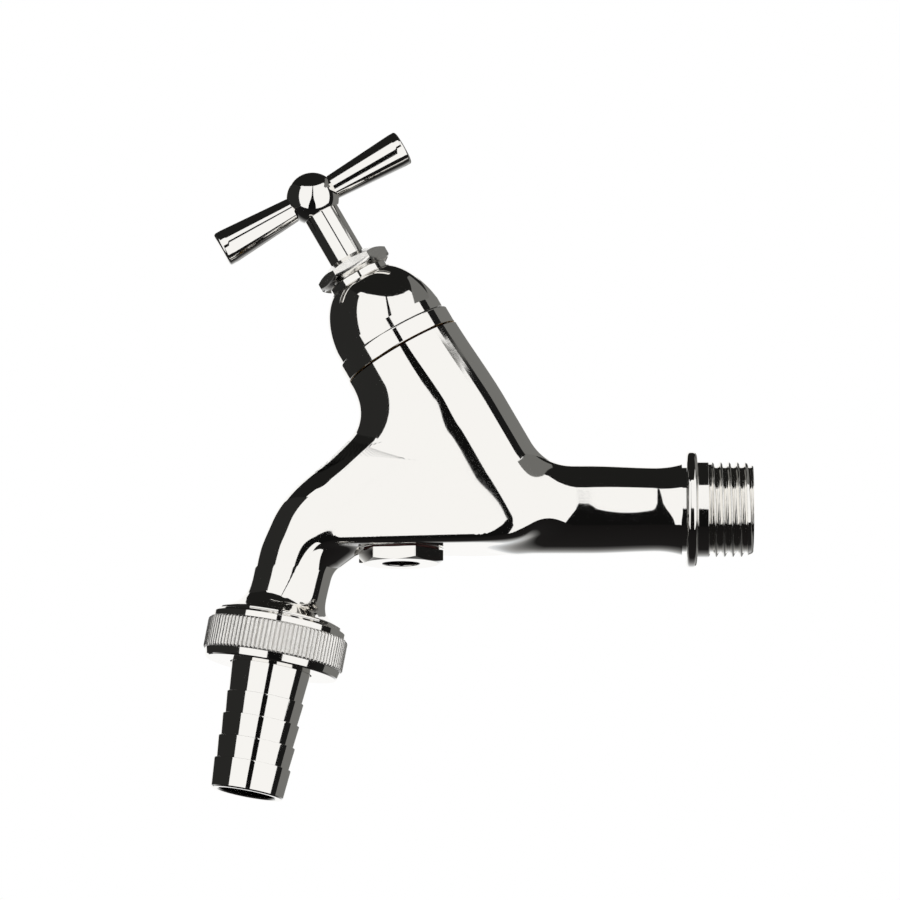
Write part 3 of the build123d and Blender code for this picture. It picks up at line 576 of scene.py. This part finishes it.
# The dome cover: a bell turned from brass bar that hides the hexagon of the head work. A plain band at its
# foot meets the barrel, the wall rises as part of an ellipse, and a hub at the top sits round the neck.
COVER_FOOT = BARREL_TOP + 0.40
COVER_BAND_TOP = 44.0
COVER_BORE = 11.9
DOME_CENTRE = (3.05, 44.2)
DOME_REACH = 9.75
DOME_RISE = 15.3
COVER_TOP = 57.8
NECK_RADIUS = 6.75


def oval(centre, reach, rise, sines):
    """Profile rows of an ellipse: centre + (reach c, rise s), where c squared and s squared add up to one."""
    s = np.asarray(sines)
    c = np.sqrt(1.0 - s * s)
    normal = np.stack([c / reach, s / rise], axis=-1)
    normal /= np.linalg.norm(normal, axis=1, keepdims=True)
    return np.hstack([np.stack([centre[0] + reach * c, centre[1] + rise * s], axis=-1), normal])


dome_sines = np.linspace(0.14, (COVER_TOP - 0.25 - DOME_CENTRE[1]) / DOME_RISE, 40)
dome_skin = oval(DOME_CENTRE, DOME_REACH, DOME_RISE, dome_sines)
cover = [turned(np.vstack([
    outline(
        (COVER_BORE, COVER_FOOT), (BARREL_RADIUS, COVER_FOOT, 0.3), (BARREL_RADIUS, COVER_BAND_TOP, 0.55),
        (12.7, COVER_BAND_TOP), tuple(dome_skin[0, :2]),
    ),
    dome_skin,
    outline(
        tuple(dome_skin[-1, :2]), (7.6, COVER_TOP, 0.15), (NECK_RADIUS + 0.05, COVER_TOP, 0.15),
        (NECK_RADIUS + 0.05, 54.0), (8.6, 54.0), (COVER_BORE, 46.0), (COVER_BORE, COVER_FOOT),
    ),
]), *ON_BARREL, 161)]
piece("dome_cover_skin", cover, polished_chrome, "valve_body", "dome_cover")


# The head work body under the dome: turned from hexagon bar, with a male thread below that screws into the
# barrel and a plain neck above. Only the neck shows, between dome and gland nut, so only it is plated.
brass = bpy.data.materials.new("turned_brass")


# Free-cutting brass straight from the lathe: warm yellow, with tool marks of 0.2 mm that spread the highlight
# and darker patches where the oil has stained it.
def turned_metal(metal, colour, stain, roughness, feed_mm, relief_mm):
    """Metal with fine noise as feed lines in its bump and roughness, and a stain ramp over coarser noise."""
    metal.use_nodes = True
    shader = metal.node_tree.nodes["Principled BSDF"]
    shader.inputs["Metallic"].default_value = 1.0
    place = node(metal, "ShaderNodeTexCoord").outputs["Object"]
    lines = node(metal, "ShaderNodeTexNoise", {"Scale": 1000.0 / feed_mm, "Detail": 2.0}, {"Vector": place})
    patch = node(metal, "ShaderNodeTexNoise", {"Scale": 220.0, "Detail": 4.0}, {"Vector": place})
    ramp = node(metal, "ShaderNodeValToRGB", None, {"Fac": patch.outputs[0]})
    ramp.color_ramp.elements[0].position = 0.30
    ramp.color_ramp.elements[0].color = linear(stain)
    ramp.color_ramp.elements[1].position = 0.55
    ramp.color_ramp.elements[1].color = linear(colour)
    spread = {"From Min": 0.3, "From Max": 0.7, "To Min": roughness * 0.7, "To Max": roughness * 1.3}
    rough = node(metal, "ShaderNodeMapRange", spread, {"Value": lines.outputs[0]})
    bump = node(metal, "ShaderNodeBump", {"Distance": relief_mm * 0.001}, {"Height": lines.outputs[0]})
    for socket, source in (("Base Color", ramp), ("Roughness", rough), ("Normal", bump)):
        metal.node_tree.links.new(source.outputs[0], shader.inputs[socket])


turned_metal(brass, "#DDB566", "#A8813F", 0.22, 0.2, 0.006)


def hexagon(flats, rounding, turn):
    """Path round a hexagon with its normals: an arc of that rounding at each corner, nine points a flat."""
    corner = np.radians(turn + 60.0 * np.arange(6))[:, None]
    arc = corner + np.radians(np.linspace(-30.0, 30.0, 5))
    centre = (flats / 2 - rounding) / math.cos(math.radians(30.0))
    x = centre * np.cos(corner) + rounding * np.cos(arc)
    y = centre * np.sin(corner) + rounding * np.sin(arc)
    part = np.linspace(0.0, 1.0, 11)[1:-1]
    flat_x = x[:, -1:] + (np.roll(x[:, :1], -1, axis=0) - x[:, -1:]) * part
    flat_y = y[:, -1:] + (np.roll(y[:, :1], -1, axis=0) - y[:, -1:]) * part
    facing = np.hstack([arc, np.repeat(corner + math.radians(30.0), 9, axis=1)])
    rows = [np.hstack([x, flat_x]), np.hstack([y, flat_y]), np.cos(facing), np.sin(facing)]
    path = np.stack(rows, axis=-1).reshape(-1, 4)
    return np.vstack([path, path[:1]])


def hexagon_bar(path, low_cone, high_cone, origin, up, across):
    """Grids of a hexagon bar: its wall, and two cones (radius, height, rise) that chamfer its corners.

    A cone stands at height + rise (r - radius), so the wall runs between the two cones at the path's own r.
    """
    radius = np.hypot(path[:, 0], path[:, 1])
    frame_axes = np.stack([across, np.cross(up, across)])
    out = (path[:, :2] / radius[:, None]) @ frame_axes
    facing = path[:, 2:] @ frame_axes
    low = low_cone[1] + low_cone[2] * (radius - low_cone[0])
    high = high_cone[1] + high_cone[2] * (radius - high_cone[0])
    height = low + (high - low) * np.linspace(0.0, 1.0, 3)[:, None]
    grids = [(origin + height[..., None] * up + radius[:, None] * out, np.repeat(facing[None], 3, axis=0))]
    for cone, edge, side in ((low_cone, low, -1.0), (high_cone, high, 1.0)):
        reach = np.stack([radius, 0.0 * radius + cone[0]])
        stand = np.stack([edge, 0.0 * radius + cone[1]])
        normal = (abs(cone[2]) * out + side * up) / math.hypot(1.0, cone[2])
        points = origin + stand[..., None] * up + reach[..., None] * out
        grids.append((points, np.repeat(normal[None], 2, axis=0)))
    return grids


head_thread = whitworth(10.0, 29.9)
head_body = [
    ring_face(head_thread, 6.1, 29.0, *ON_BARREL, 129, -1.0),
    wall(head_thread, np.linspace(29.0, 39.0, 100), *ON_BARREL, 129),
    ring_face(head_thread, 9.4, 39.0, *ON_BARREL, 129, 1.0),
    turned(outline((9.4, 39.0), (9.4, 40.3)), *ON_BARREL, 129),
    turned(outline(
        (9.4, 45.0), (6.45, 45.0), (6.45, 53.5), (4.1, 53.5), (4.1, 46.5), (6.1, 46.5), (6.1, 29.0),
    ), *ON_BARREL, 65),
] + hexagon_bar(hexagon(19.0, 0.3, 0.0), (9.4, 40.3, 0.0), (9.4, 45.0, -0.5), *ON_BARREL)
piece("head_work_body", head_body, brass, "valve_body", "bonnet")
neck_profile = outline(
    (NECK_RADIUS, 44.9), (NECK_RADIUS, 59.6, 0.3), (5.6, 59.6), (5.6, 53.55), (6.5, 53.55), (6.5, 45.1),
)
piece("head_work_neck", [turned(neck_profile, *ON_BARREL, 97)], polished_chrome, "valve_body", "bonnet")


# The gland nut: hexagon bar with a turned top, screwed down on the packing. Its flats are left with the satin
# finish of the bar under the plate, so they read pale and matt beside the polished dome and stem.
satin_chrome = chrome_plate("satin_chrome_plate", 0.16, 0.001)
gland = hexagon_bar(hexagon(14.5, 0.25, -3.5), (7.95, 60.0, 0.9), (4.6, 63.75, -0.44), *ON_BARREL)
gland.append(turned(outline((5.4, 56.6), (5.4, 60.0), (7.95, 60.0)), *ON_BARREL, 97))
gland.append(turned(outline((4.6, 63.75), (4.08, 63.75), (4.08, 56.6), (5.4, 56.6)), *ON_BARREL, 97))
piece("gland_nut_hexagon", gland, satin_chrome, "valve_body", "gland_nut")


# The rising spindle: turned brass, plated and polished only on the stem that shows. The screw inside has a
# two-start thread that rises 2.5 mm a turn, and the ball sits on a tenon at the top.
STEM_RADIUS = 4.0
STEM_TOP = 75.4
BALL = FOOT + UP * 79.2


def spindle_radius(angle, height):
    """Screw r(a, h): two rounded ridges a turn, 0.9 mm deep, faded out at both ends of the threaded part."""
    wave = 0.45 * (1.0 + np.cos(2.0 * math.pi * height / 1.25 - 2.0 * angle))
    return 6.0 - wave * ease(height, 19.6, 20.6) * ease(height, 39.8, 38.8)


screw_part = [
    turned(outline((0.0, 30.0), (2.6, 30.0), (2.6, 19.4), (6.0, 19.4)), *ON_BARREL, 65),
    wall(spindle_radius, np.linspace(19.4, 40.0, 150), *ON_BARREL, 97),
    turned(outline((6.0, 40.0), (STEM_RADIUS, 40.0), (STEM_RADIUS, 47.0)), *ON_BARREL, 97),
]
piece("spindle_screw", screw_part, brass, "handle", "spindle")
stem = [turned(outline(
    (STEM_RADIUS, 47.0), (STEM_RADIUS, STEM_TOP, 0.15), (2.5, STEM_TOP), (2.5, 82.0, 0.3), (0.0, 82.0),
), *ON_BARREL, 97)]
piece("spindle_stem", stem, polished_chrome, "handle", "spindle")


# The tee handle: a ball bored for the spindle's tenon, with two tapered arms screwed into it. All three are
# turned from bar, polished and plated apart, so a fine line shows where they meet.
BALL_RADIUS = 5.8
BALL_FOOT = -3.9
ball_sines = np.sin(np.linspace(math.asin(BALL_FOOT / BALL_RADIUS), math.pi / 2, 64))
ball = [turned(np.vstack([
    outline((2.55, 2.7), (2.55, BALL_FOOT), (4.02, BALL_FOOT)),
    oval((0.0, 0.0), BALL_RADIUS, BALL_RADIUS, ball_sines),
]), BALL, UP, ACROSS, 129)]
piece("handle_ball", ball, polished_chrome, "handle", "handle_hub")
arm_profile = outline(
    (0.0, 2.9), (1.5, 2.9), (1.5, 4.85), (2.8, 4.85), (3.97, 21.0, 6.0), (3.97, 22.85, 0.62), (0.0, 23.0),
)
for arm_name, way in (("handle_arm_left", -ACROSS), ("handle_arm_right", ACROSS)):
    arm = turned(arm_profile, BALL, way, SIDE, 97)
    piece(arm_name + "_turned", [arm], polished_chrome, "handle", arm_name)


# The union nut: turned brass with a straight knurl for the fingers between two plain bands, and a lip inside
# that carries the hose tail. The knurl is rolled, 96 ribs a turn, and the plate leaves it pale and half matt.
KNURL_RADIUS = 15.31
KNURL_LOW, KNURL_HIGH = -3.3, 3.7
KNURL_EDGE = 14.9
NUT_LOW, NUT_HIGH = -5.06, 5.5
NUT_LIP_TOP = -3.46
NUT_LIP_BORE = 8.95
RIBS = 96
rib_depth = 0.30 + 0.10 * np.random.default_rng(4).random(RIBS)
nut_thread = whitworth(OUTLET_MAJOR + 0.06, OUTLET_END - PIPE_PITCH / 2)


def knurl_radius(angle, height):
    """Rib wave r(a): outer radius less own depth (1 - |sin| to the power 0.8), under 45 degree end bevels."""
    turns = angle / (2.0 * math.pi) * RIBS
    depth = rib_depth[np.floor(turns).astype(int) % RIBS]
    wave = KNURL_RADIUS - depth * (1.0 - np.abs(np.sin(math.pi * turns)) ** 0.8)
    bevel = np.minimum(KNURL_EDGE + (height - KNURL_LOW), KNURL_EDGE + (KNURL_HIGH - height))
    return np.minimum(wave, bevel)


# Rolled knurl under chrome: half matt all over, so the ribs read as pale grey beside the mirror bands.
knurled_chrome = chrome_plate("knurled_chrome_plate", 0.42, 0.012)
union = [
    turned(outline(
        (NUT_LIP_BORE, NUT_LIP_TOP), (NUT_LIP_BORE, NUT_LOW, 0.1), (14.25, NUT_LOW, 0.08),
        (14.55, -4.76, 0.15), (KNURL_EDGE, KNURL_LOW),
    ), *ON_OUTLET, 193),
    turned(outline(
        (KNURL_EDGE, KNURL_HIGH), (14.45, KNURL_HIGH), (14.45, 5.0, 0.2), (13.95, NUT_HIGH, 0.1),
        (13.28, NUT_HIGH),
    ), *ON_OUTLET, 193),
    wall(nut_thread, np.linspace(NUT_HIGH, NUT_LIP_TOP, 90), *ON_OUTLET, 129, -1.0),
    ring_face(nut_thread, NUT_LIP_BORE, NUT_LIP_TOP, *ON_OUTLET, 129, 1.0),
]
piece("union_nut_bands", union, polished_chrome, "nut", "union_nut")
knurl_heights = np.array([KNURL_LOW, -3.05, -2.8, -1.2, 0.2, 1.7, 3.2, 3.45, KNURL_HIGH])
knurl = wall(knurl_radius, knurl_heights, *ON_OUTLET, RIBS * 8 + 1)
piece("union_nut_knurl", [knurl], knurled_chrome, "nut", "union_nut")


# The hose tail: turned brass, plated and polished. A flange is held by the nut, a plain cone follows, and
# four saw-tooth barbs grip a 16 mm hose. Each barb ends in a sharp edge with a hair of flat on it.
HOSE_BORE = 6.3
barb_tops = -11.65 - 4.9 * np.arange(3, -1, -1)
barb_corners = [(8.0, -32.5, 0.0)]
for step, barb_top in enumerate(barb_tops):
    barb_corners += [(8.5, barb_top - 0.25, 0.3), (8.5, barb_top, 0.06), (8.0 if step < 3 else 8.1, barb_top)]
tail_profile = outline(
    (HOSE_BORE, -4.0), (HOSE_BORE, -32.5), (HOSE_BORE + 0.3, -32.8), (7.7, -32.8), *barb_corners,
    (8.7, -5.06), (8.7, -3.41), (12.0, -3.41, 0.1), (12.0, -1.86, 0.1), (HOSE_BORE, -1.86), (HOSE_BORE, -4.0),
)
hose_tail = turned(tail_profile, *ON_OUTLET, 129)
piece("hose_tail_turned", [hose_tail], polished_chrome, "tail", "hose_tail")


# The air inlet plug: hexagon brass plug screwed into the boss under the spout, with a mouth drilled up to a
# small valve hole. Polished flats, corners chamfered at the foot, plated bright.
VENT_TURN = -10.6
plug = hexagon_bar(hexagon(16.2, 0.3, VENT_TURN), (8.1, -11.9, 0.4), (8.4, -9.15, 0.0), *ON_VENT)
plug.append(turned(outline(
    (4.7, -2.4), (4.7, -6.8), (2.5, -6.8), (2.5, -8.2), (4.05, -8.2), (4.05, -11.9, 0.25), (8.1, -11.9),
), *ON_VENT, 97))
plug.append(turned(outline((8.4, -9.15), (5.95, -9.15), (5.95, -2.4), (4.7, -2.4)), *ON_VENT, 97))
piece("air_inlet_plug", plug, polished_chrome, "valve_body", "vent_plug")


# The small parts inside, kept as the frame has them: brass plate, screw, clip, ring and cage, rubber washers,
# fibre gaskets, white packing and air disc, and the steel grub screw at the back of the ball.
rubber = bpy.data.materials.new("moulded_black_rubber")
fibre = bpy.data.materials.new("pressed_red_fibre")
ptfe = bpy.data.materials.new("white_low_friction_plastic")
steel = bpy.data.materials.new("machined_stainless_steel")
turned_metal(steel, "#C2C3C4", "#8E9092", 0.24, 0.15, 0.004)


# Rubber is matt with a bloom, fibre shows pressed flakes of 0.5 mm, and the plastic is milky with faint
# clouds in it.
def pressed(material, dark, light, flake_mm, roughness, relief_mm):
    """Matt stuff: colour ramp over flake noise, roughness close to level, and a bump of the same flakes."""
    material.use_nodes = True
    shader = material.node_tree.nodes["Principled BSDF"]
    place = node(material, "ShaderNodeTexCoord").outputs["Object"]
    size = {"Scale": 1000.0 / flake_mm, "Detail": 4.0}
    flakes = node(material, "ShaderNodeTexNoise", size, {"Vector": place})
    ramp = node(material, "ShaderNodeValToRGB", None, {"Fac": flakes.outputs[0]})
    ramp.color_ramp.elements[0].position = 0.35
    ramp.color_ramp.elements[0].color = linear(dark)
    ramp.color_ramp.elements[1].position = 0.65
    ramp.color_ramp.elements[1].color = linear(light)
    spread = {"To Min": roughness - 0.08, "To Max": roughness + 0.08}
    rough = node(material, "ShaderNodeMapRange", spread, {"Value": flakes.outputs[0]})
    bump = node(material, "ShaderNodeBump", {"Distance": relief_mm * 0.001}, {"Height": flakes.outputs[0]})
    for socket, source in (("Base Color", ramp), ("Roughness", rough), ("Normal", bump)):
        material.node_tree.links.new(source.outputs[0], shader.inputs[socket])


pressed(rubber, "#1A1A1A", "#2B2B2A", 0.3, 0.75, 0.01)
pressed(fibre, "#2A1210", "#471C17", 0.5, 0.85, 0.02)
pressed(ptfe, "#DEDDD6", "#EFEEE9", 0.8, 0.45, 0.004)
for inner, stuff in (
    ("gland_ring", brass), ("valve_plate", brass), ("washer_screw", brass), ("jumper_clip", brass),
    ("vent_cage", brass), ("seat_washer", rubber), ("hose_washer", rubber), ("vent_seal_ring", rubber),
    ("bonnet_gasket", fibre), ("vent_gasket", fibre), ("gland_packing", ptfe), ("vent_disc", ptfe),
    ("handle_grub_screw", steel),
):
    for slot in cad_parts[inner].material_slots:
        slot.material = stuff


# The studio: a white sweep all round, as a light tent, with glowing cards that only reflections see: painted
# dark reflections above, at both sides and in the slit the camera looks through, painted grey ones above and
# behind at the right, and a graded one below.
CAMERA_AWAY = 2.0
CAMERA_TILT = 8.8
VIEW_WIDTH = 0.19565
SENSOR_MM = 36
aim = Vector((-0.05359, 0, 0.01309))
tilt = math.radians(CAMERA_TILT)
camera = bpy.data.objects.new("camera", bpy.data.cameras.new("camera"))
bpy.context.scene.collection.objects.link(camera)
camera.location = aim + CAMERA_AWAY * Vector((0, -math.cos(tilt), -math.sin(tilt)))
camera.rotation_euler = (math.radians(90.0 + CAMERA_TILT), 0, 0)
camera.data.lens = SENSOR_MM * CAMERA_AWAY / VIEW_WIDTH
camera.data.clip_start = 0.1
camera.data.clip_end = 20
bpy.context.scene.camera = camera
bpy.context.scene.view_settings.view_transform = "Standard"


def toward(azimuth, elevation):
    """Unit vector from the tap: azimuth 0 to the camera's side and positive to the right, elevation above."""
    a, e = math.radians(azimuth), math.radians(elevation)
    return Vector((math.sin(a) * math.cos(e), -math.cos(a) * math.cos(e), math.sin(e)))


# Painted reflection card: black, not glossy, it glows at the tone it is given, so the chrome shows that tone
# whatever lamp is near.
def painted_reflection_material(name, stops):
    """Glowing card material, a painted reflection whose tone follows a ramp over Object Y from its near edge
    to its far edge in metres.
    """
    stock = bpy.data.materials.new(name)
    stock.use_nodes = True
    shader = stock.node_tree.nodes["Principled BSDF"]
    shader.inputs["Base Color"].default_value = linear("#000000")
    shader.inputs["Specular IOR Level"].default_value = 0.0
    shader.inputs["Roughness"].default_value = 1.0
    shader.inputs["Emission Strength"].default_value = 1.0
    if len(stops) == 1:
        shader.inputs["Emission Color"].default_value = linear(stops[0][1])
        return stock
    place = node(stock, "ShaderNodeTexCoord").outputs["Object"]
    split = node(stock, "ShaderNodeSeparateXYZ", None, {"Vector": place})
    reach = {"From Min": stops[0][0], "From Max": stops[-1][0]}
    along = node(stock, "ShaderNodeMapRange", reach, {"Value": split.outputs["Y"]})
    ramp = node(stock, "ShaderNodeValToRGB", None, {"Fac": along.outputs[0]})
    points = ramp.color_ramp.elements
    for step, (where, tone) in enumerate(stops):
        part = (where - stops[0][0]) / (stops[-1][0] - stops[0][0])
        point = points[0] if step == 0 else points[-1] if step == len(stops) - 1 else points.new(part)
        point.position = part
        point.color = linear(tone)
    stock.node_tree.links.new(ramp.outputs[0], shader.inputs["Emission Color"])
    return stock


def card(name, corners, stock):
    """Flat card through those corners in metres that only reflections see."""
    mesh = bpy.data.meshes.new(name)
    mesh.from_pydata([tuple(corner) for corner in corners], [], [tuple(range(len(corners)))])
    thing = bpy.data.objects.new(name, mesh)
    bpy.context.scene.collection.objects.link(thing)
    mesh.materials.append(stock)
    thing.visible_camera = thing.visible_diffuse = thing.visible_shadow = thing.visible_transmission = False


def upright(name, ends, low, high, stock):
    """Standing card between two (x, y) ends from one height to another."""
    (x0, y0), (x1, y1) = ends
    card(name, [(x0, y0, low), (x1, y1, low), (x1, y1, high), (x0, y0, high)], stock)


# Corners of the slit's card as (azimuth, elevation) degrees from the tap, on a plane 0.9 m off. It glows near
# black, a painted dark reflection round the camera.
SLIT = [
    (-1, 50), (2, 50), (2.4, 8), (5, -8), (10, -20), (16, -35), (24, -54), (-34, -54), (-20, -32), (-8, -6),
    (-4.5, 8),
]
SLIT_AWAY = 0.9
slit_facing = toward(-1, -2)
slit = [aim + toward(a, e) * SLIT_AWAY / toward(a, e).dot(slit_facing) for a, e in SLIT]
card("slit_card", slit, painted_reflection_material("painted_dark_reflection_slit", [(0, "#101010")]))

# Heights of the cards above and below the tap, and the front edge of the upper one as (azimuth, elevation).
TOP_Z, LOW_Z = 0.62, -0.35
FRONT_EDGE = [(-62, 46), (-45, 46), (-30, 47), (-15, 48), (0, 49), (15, 52), (30, 55), (50, 58), (80, 60)]
front = [aim + toward(a, 0) * ((TOP_Z - aim.z) / math.tan(math.radians(e))) for a, e in FRONT_EDGE]
TOP_BACK = [(0.75, 0.05), (0.75, 0.87), (-0.80, 0.87), (-0.80, -0.25)]
top_corners = [(p.x, p.y, TOP_Z) for p in front] + [(x, y, TOP_Z) for x, y in TOP_BACK]
# The top card glows dark grey: a painted dark reflection overhead.
card("top_card", top_corners, painted_reflection_material("painted_dark_reflection_top", [(0, "#1D1D1C")]))

# A paler card hangs 10 mm under the black one, above and to the right: it glows grey, a painted grey
# reflection beside the dome's line.
GREY_TOP = [
    (0.464, -0.275), (0.34, -0.08), (0.28, 0.10), (0.20, 0.30), (0.20, 0.50), (0.60, 0.50), (0.60, -0.275),
]
grey_corners = [(x, y, TOP_Z - 0.01) for x, y in GREY_TOP]
card("grey_top_card", grey_corners, painted_reflection_material("painted_grey_reflection_top", [(0, "#6F6F6D")]))

# Standing cards from the lower to the upper height, each between two (x, y) ends, glowing at their tones:
# painted dark reflections at both sides and a painted grey reflection behind at the right.
for card_name, ends, reflection_name, tone in (
    ("left_card", [(-0.70, -0.358), (-0.70, 1.10)], "painted_dark_reflection_left", "#282827"),
    ("right_card", [(0.62, -0.13), (0.62, 0.156)], "painted_dark_reflection_right", "#1A1A1A"),
    ("grey_card", [(0.62, 0.156), (0.21, 1.0)], "grey_card", "#757573"),
):
    upright(card_name, ends, LOW_Z, TOP_Z, painted_reflection_material(reflection_name, [(0, tone)]))

# The card below is a painted reflection that grows paler from front to back, near black under the tap to near
# white behind, by (y in metres, tone).
LOW_TONES = [
    (-0.30, "#161515"), (0.20, "#1E1D1D"), (0.34, "#606060"), (0.54, "#9C9C9C"), (1.0, "#D5D8DB"),
    (1.6, "#F4F5F7"),
]
low_corners = [(-1.2, -0.30, LOW_Z), (1.2, -0.30, LOW_Z), (1.2, 1.6, LOW_Z), (-1.2, 1.6, LOW_Z)]
card("low_card", low_corners, painted_reflection_material("graded_low_card", LOW_TONES))


# Two soft lamps give the matt parts and the floor a gentle side; the chrome does not see them.
for name, azimuth, elevation in (("soft_lamp_left", -40.0, 40.0), ("soft_lamp_right", 55.0, 30.0)):
    light = bpy.data.lights.new(name, "AREA")
    light.size = 1.2
    light.energy = 1.4
    lamp = bpy.data.objects.new(name, light)
    bpy.context.scene.collection.objects.link(lamp)
    lamp.location = aim + toward(azimuth, elevation) * 1.6
    lamp.rotation_euler = toward(azimuth, elevation).to_track_quat("Z", "Y").to_euler()
    lamp.visible_camera = lamp.visible_glossy = False


# Floor: matt white laminate, far enough below for the camera to look up at the tap as the photo does.
laminate = bpy.data.materials.new("white_laminate_floor")
laminate.use_nodes = True
floor_place = node(laminate, "ShaderNodeTexCoord").outputs["Object"]
floor_fleck = node(laminate, "ShaderNodeTexNoise", {"Scale": 30.0, "Detail": 3.0}, {"Vector": floor_place})
floor_tone = node(laminate, "ShaderNodeValToRGB", None, {"Fac": floor_fleck.outputs[0]})
floor_tone.color_ramp.elements[0].color = linear("#F3F3F2")
floor_tone.color_ramp.elements[1].color = linear("#F8F8F7")
laminate_shader = laminate.node_tree.nodes["Principled BSDF"]
laminate.node_tree.links.new(floor_tone.outputs[0], laminate_shader.inputs["Base Color"])
laminate_shader.inputs["Roughness"].default_value = 0.7
floor_mesh = bpy.data.meshes.new("floor")
FLOOR_Z = -0.40
FLOOR_HALF = 6
floor_corners = [(-1, -1), (1, -1), (1, 1), (-1, 1)]
floor_points = [(x * FLOOR_HALF, y * FLOOR_HALF, FLOOR_Z) for x, y in floor_corners]
floor_mesh.from_pydata(floor_points, [], [(0, 1, 2, 3)])
floor = bpy.data.objects.new("floor", floor_mesh)
bpy.context.scene.collection.objects.link(floor)
floor_mesh.materials.append(laminate)
floor.visible_glossy = False

# World: white wherever the camera or the chrome looks, and a little lower where it lights matt surfaces.
world = bpy.data.worlds.new("white_sweep")
bpy.context.scene.world = world
world.use_nodes = True
rays = node(world, "ShaderNodeLightPath")
direct = {0: rays.outputs["Is Camera Ray"], 1: rays.outputs["Is Glossy Ray"]}
seen = node(world, "ShaderNodeMath", {"operation": "ADD"}, direct)
through = {0: seen.outputs[0], 1: rays.outputs["Is Transmission Ray"]}
shown = node(world, "ShaderNodeMath", {"operation": "ADD", "use_clamp": True}, through)
level = node(world, "ShaderNodeMapRange", {"To Min": 0.8, "To Max": 1.0}, {"Value": shown.outputs[0]})
sweep = world.node_tree.nodes["Background"]
sweep.inputs["Color"].default_value = linear("#FFFFFF")
world.node_tree.links.new(level.outputs[0], sweep.inputs["Strength"])
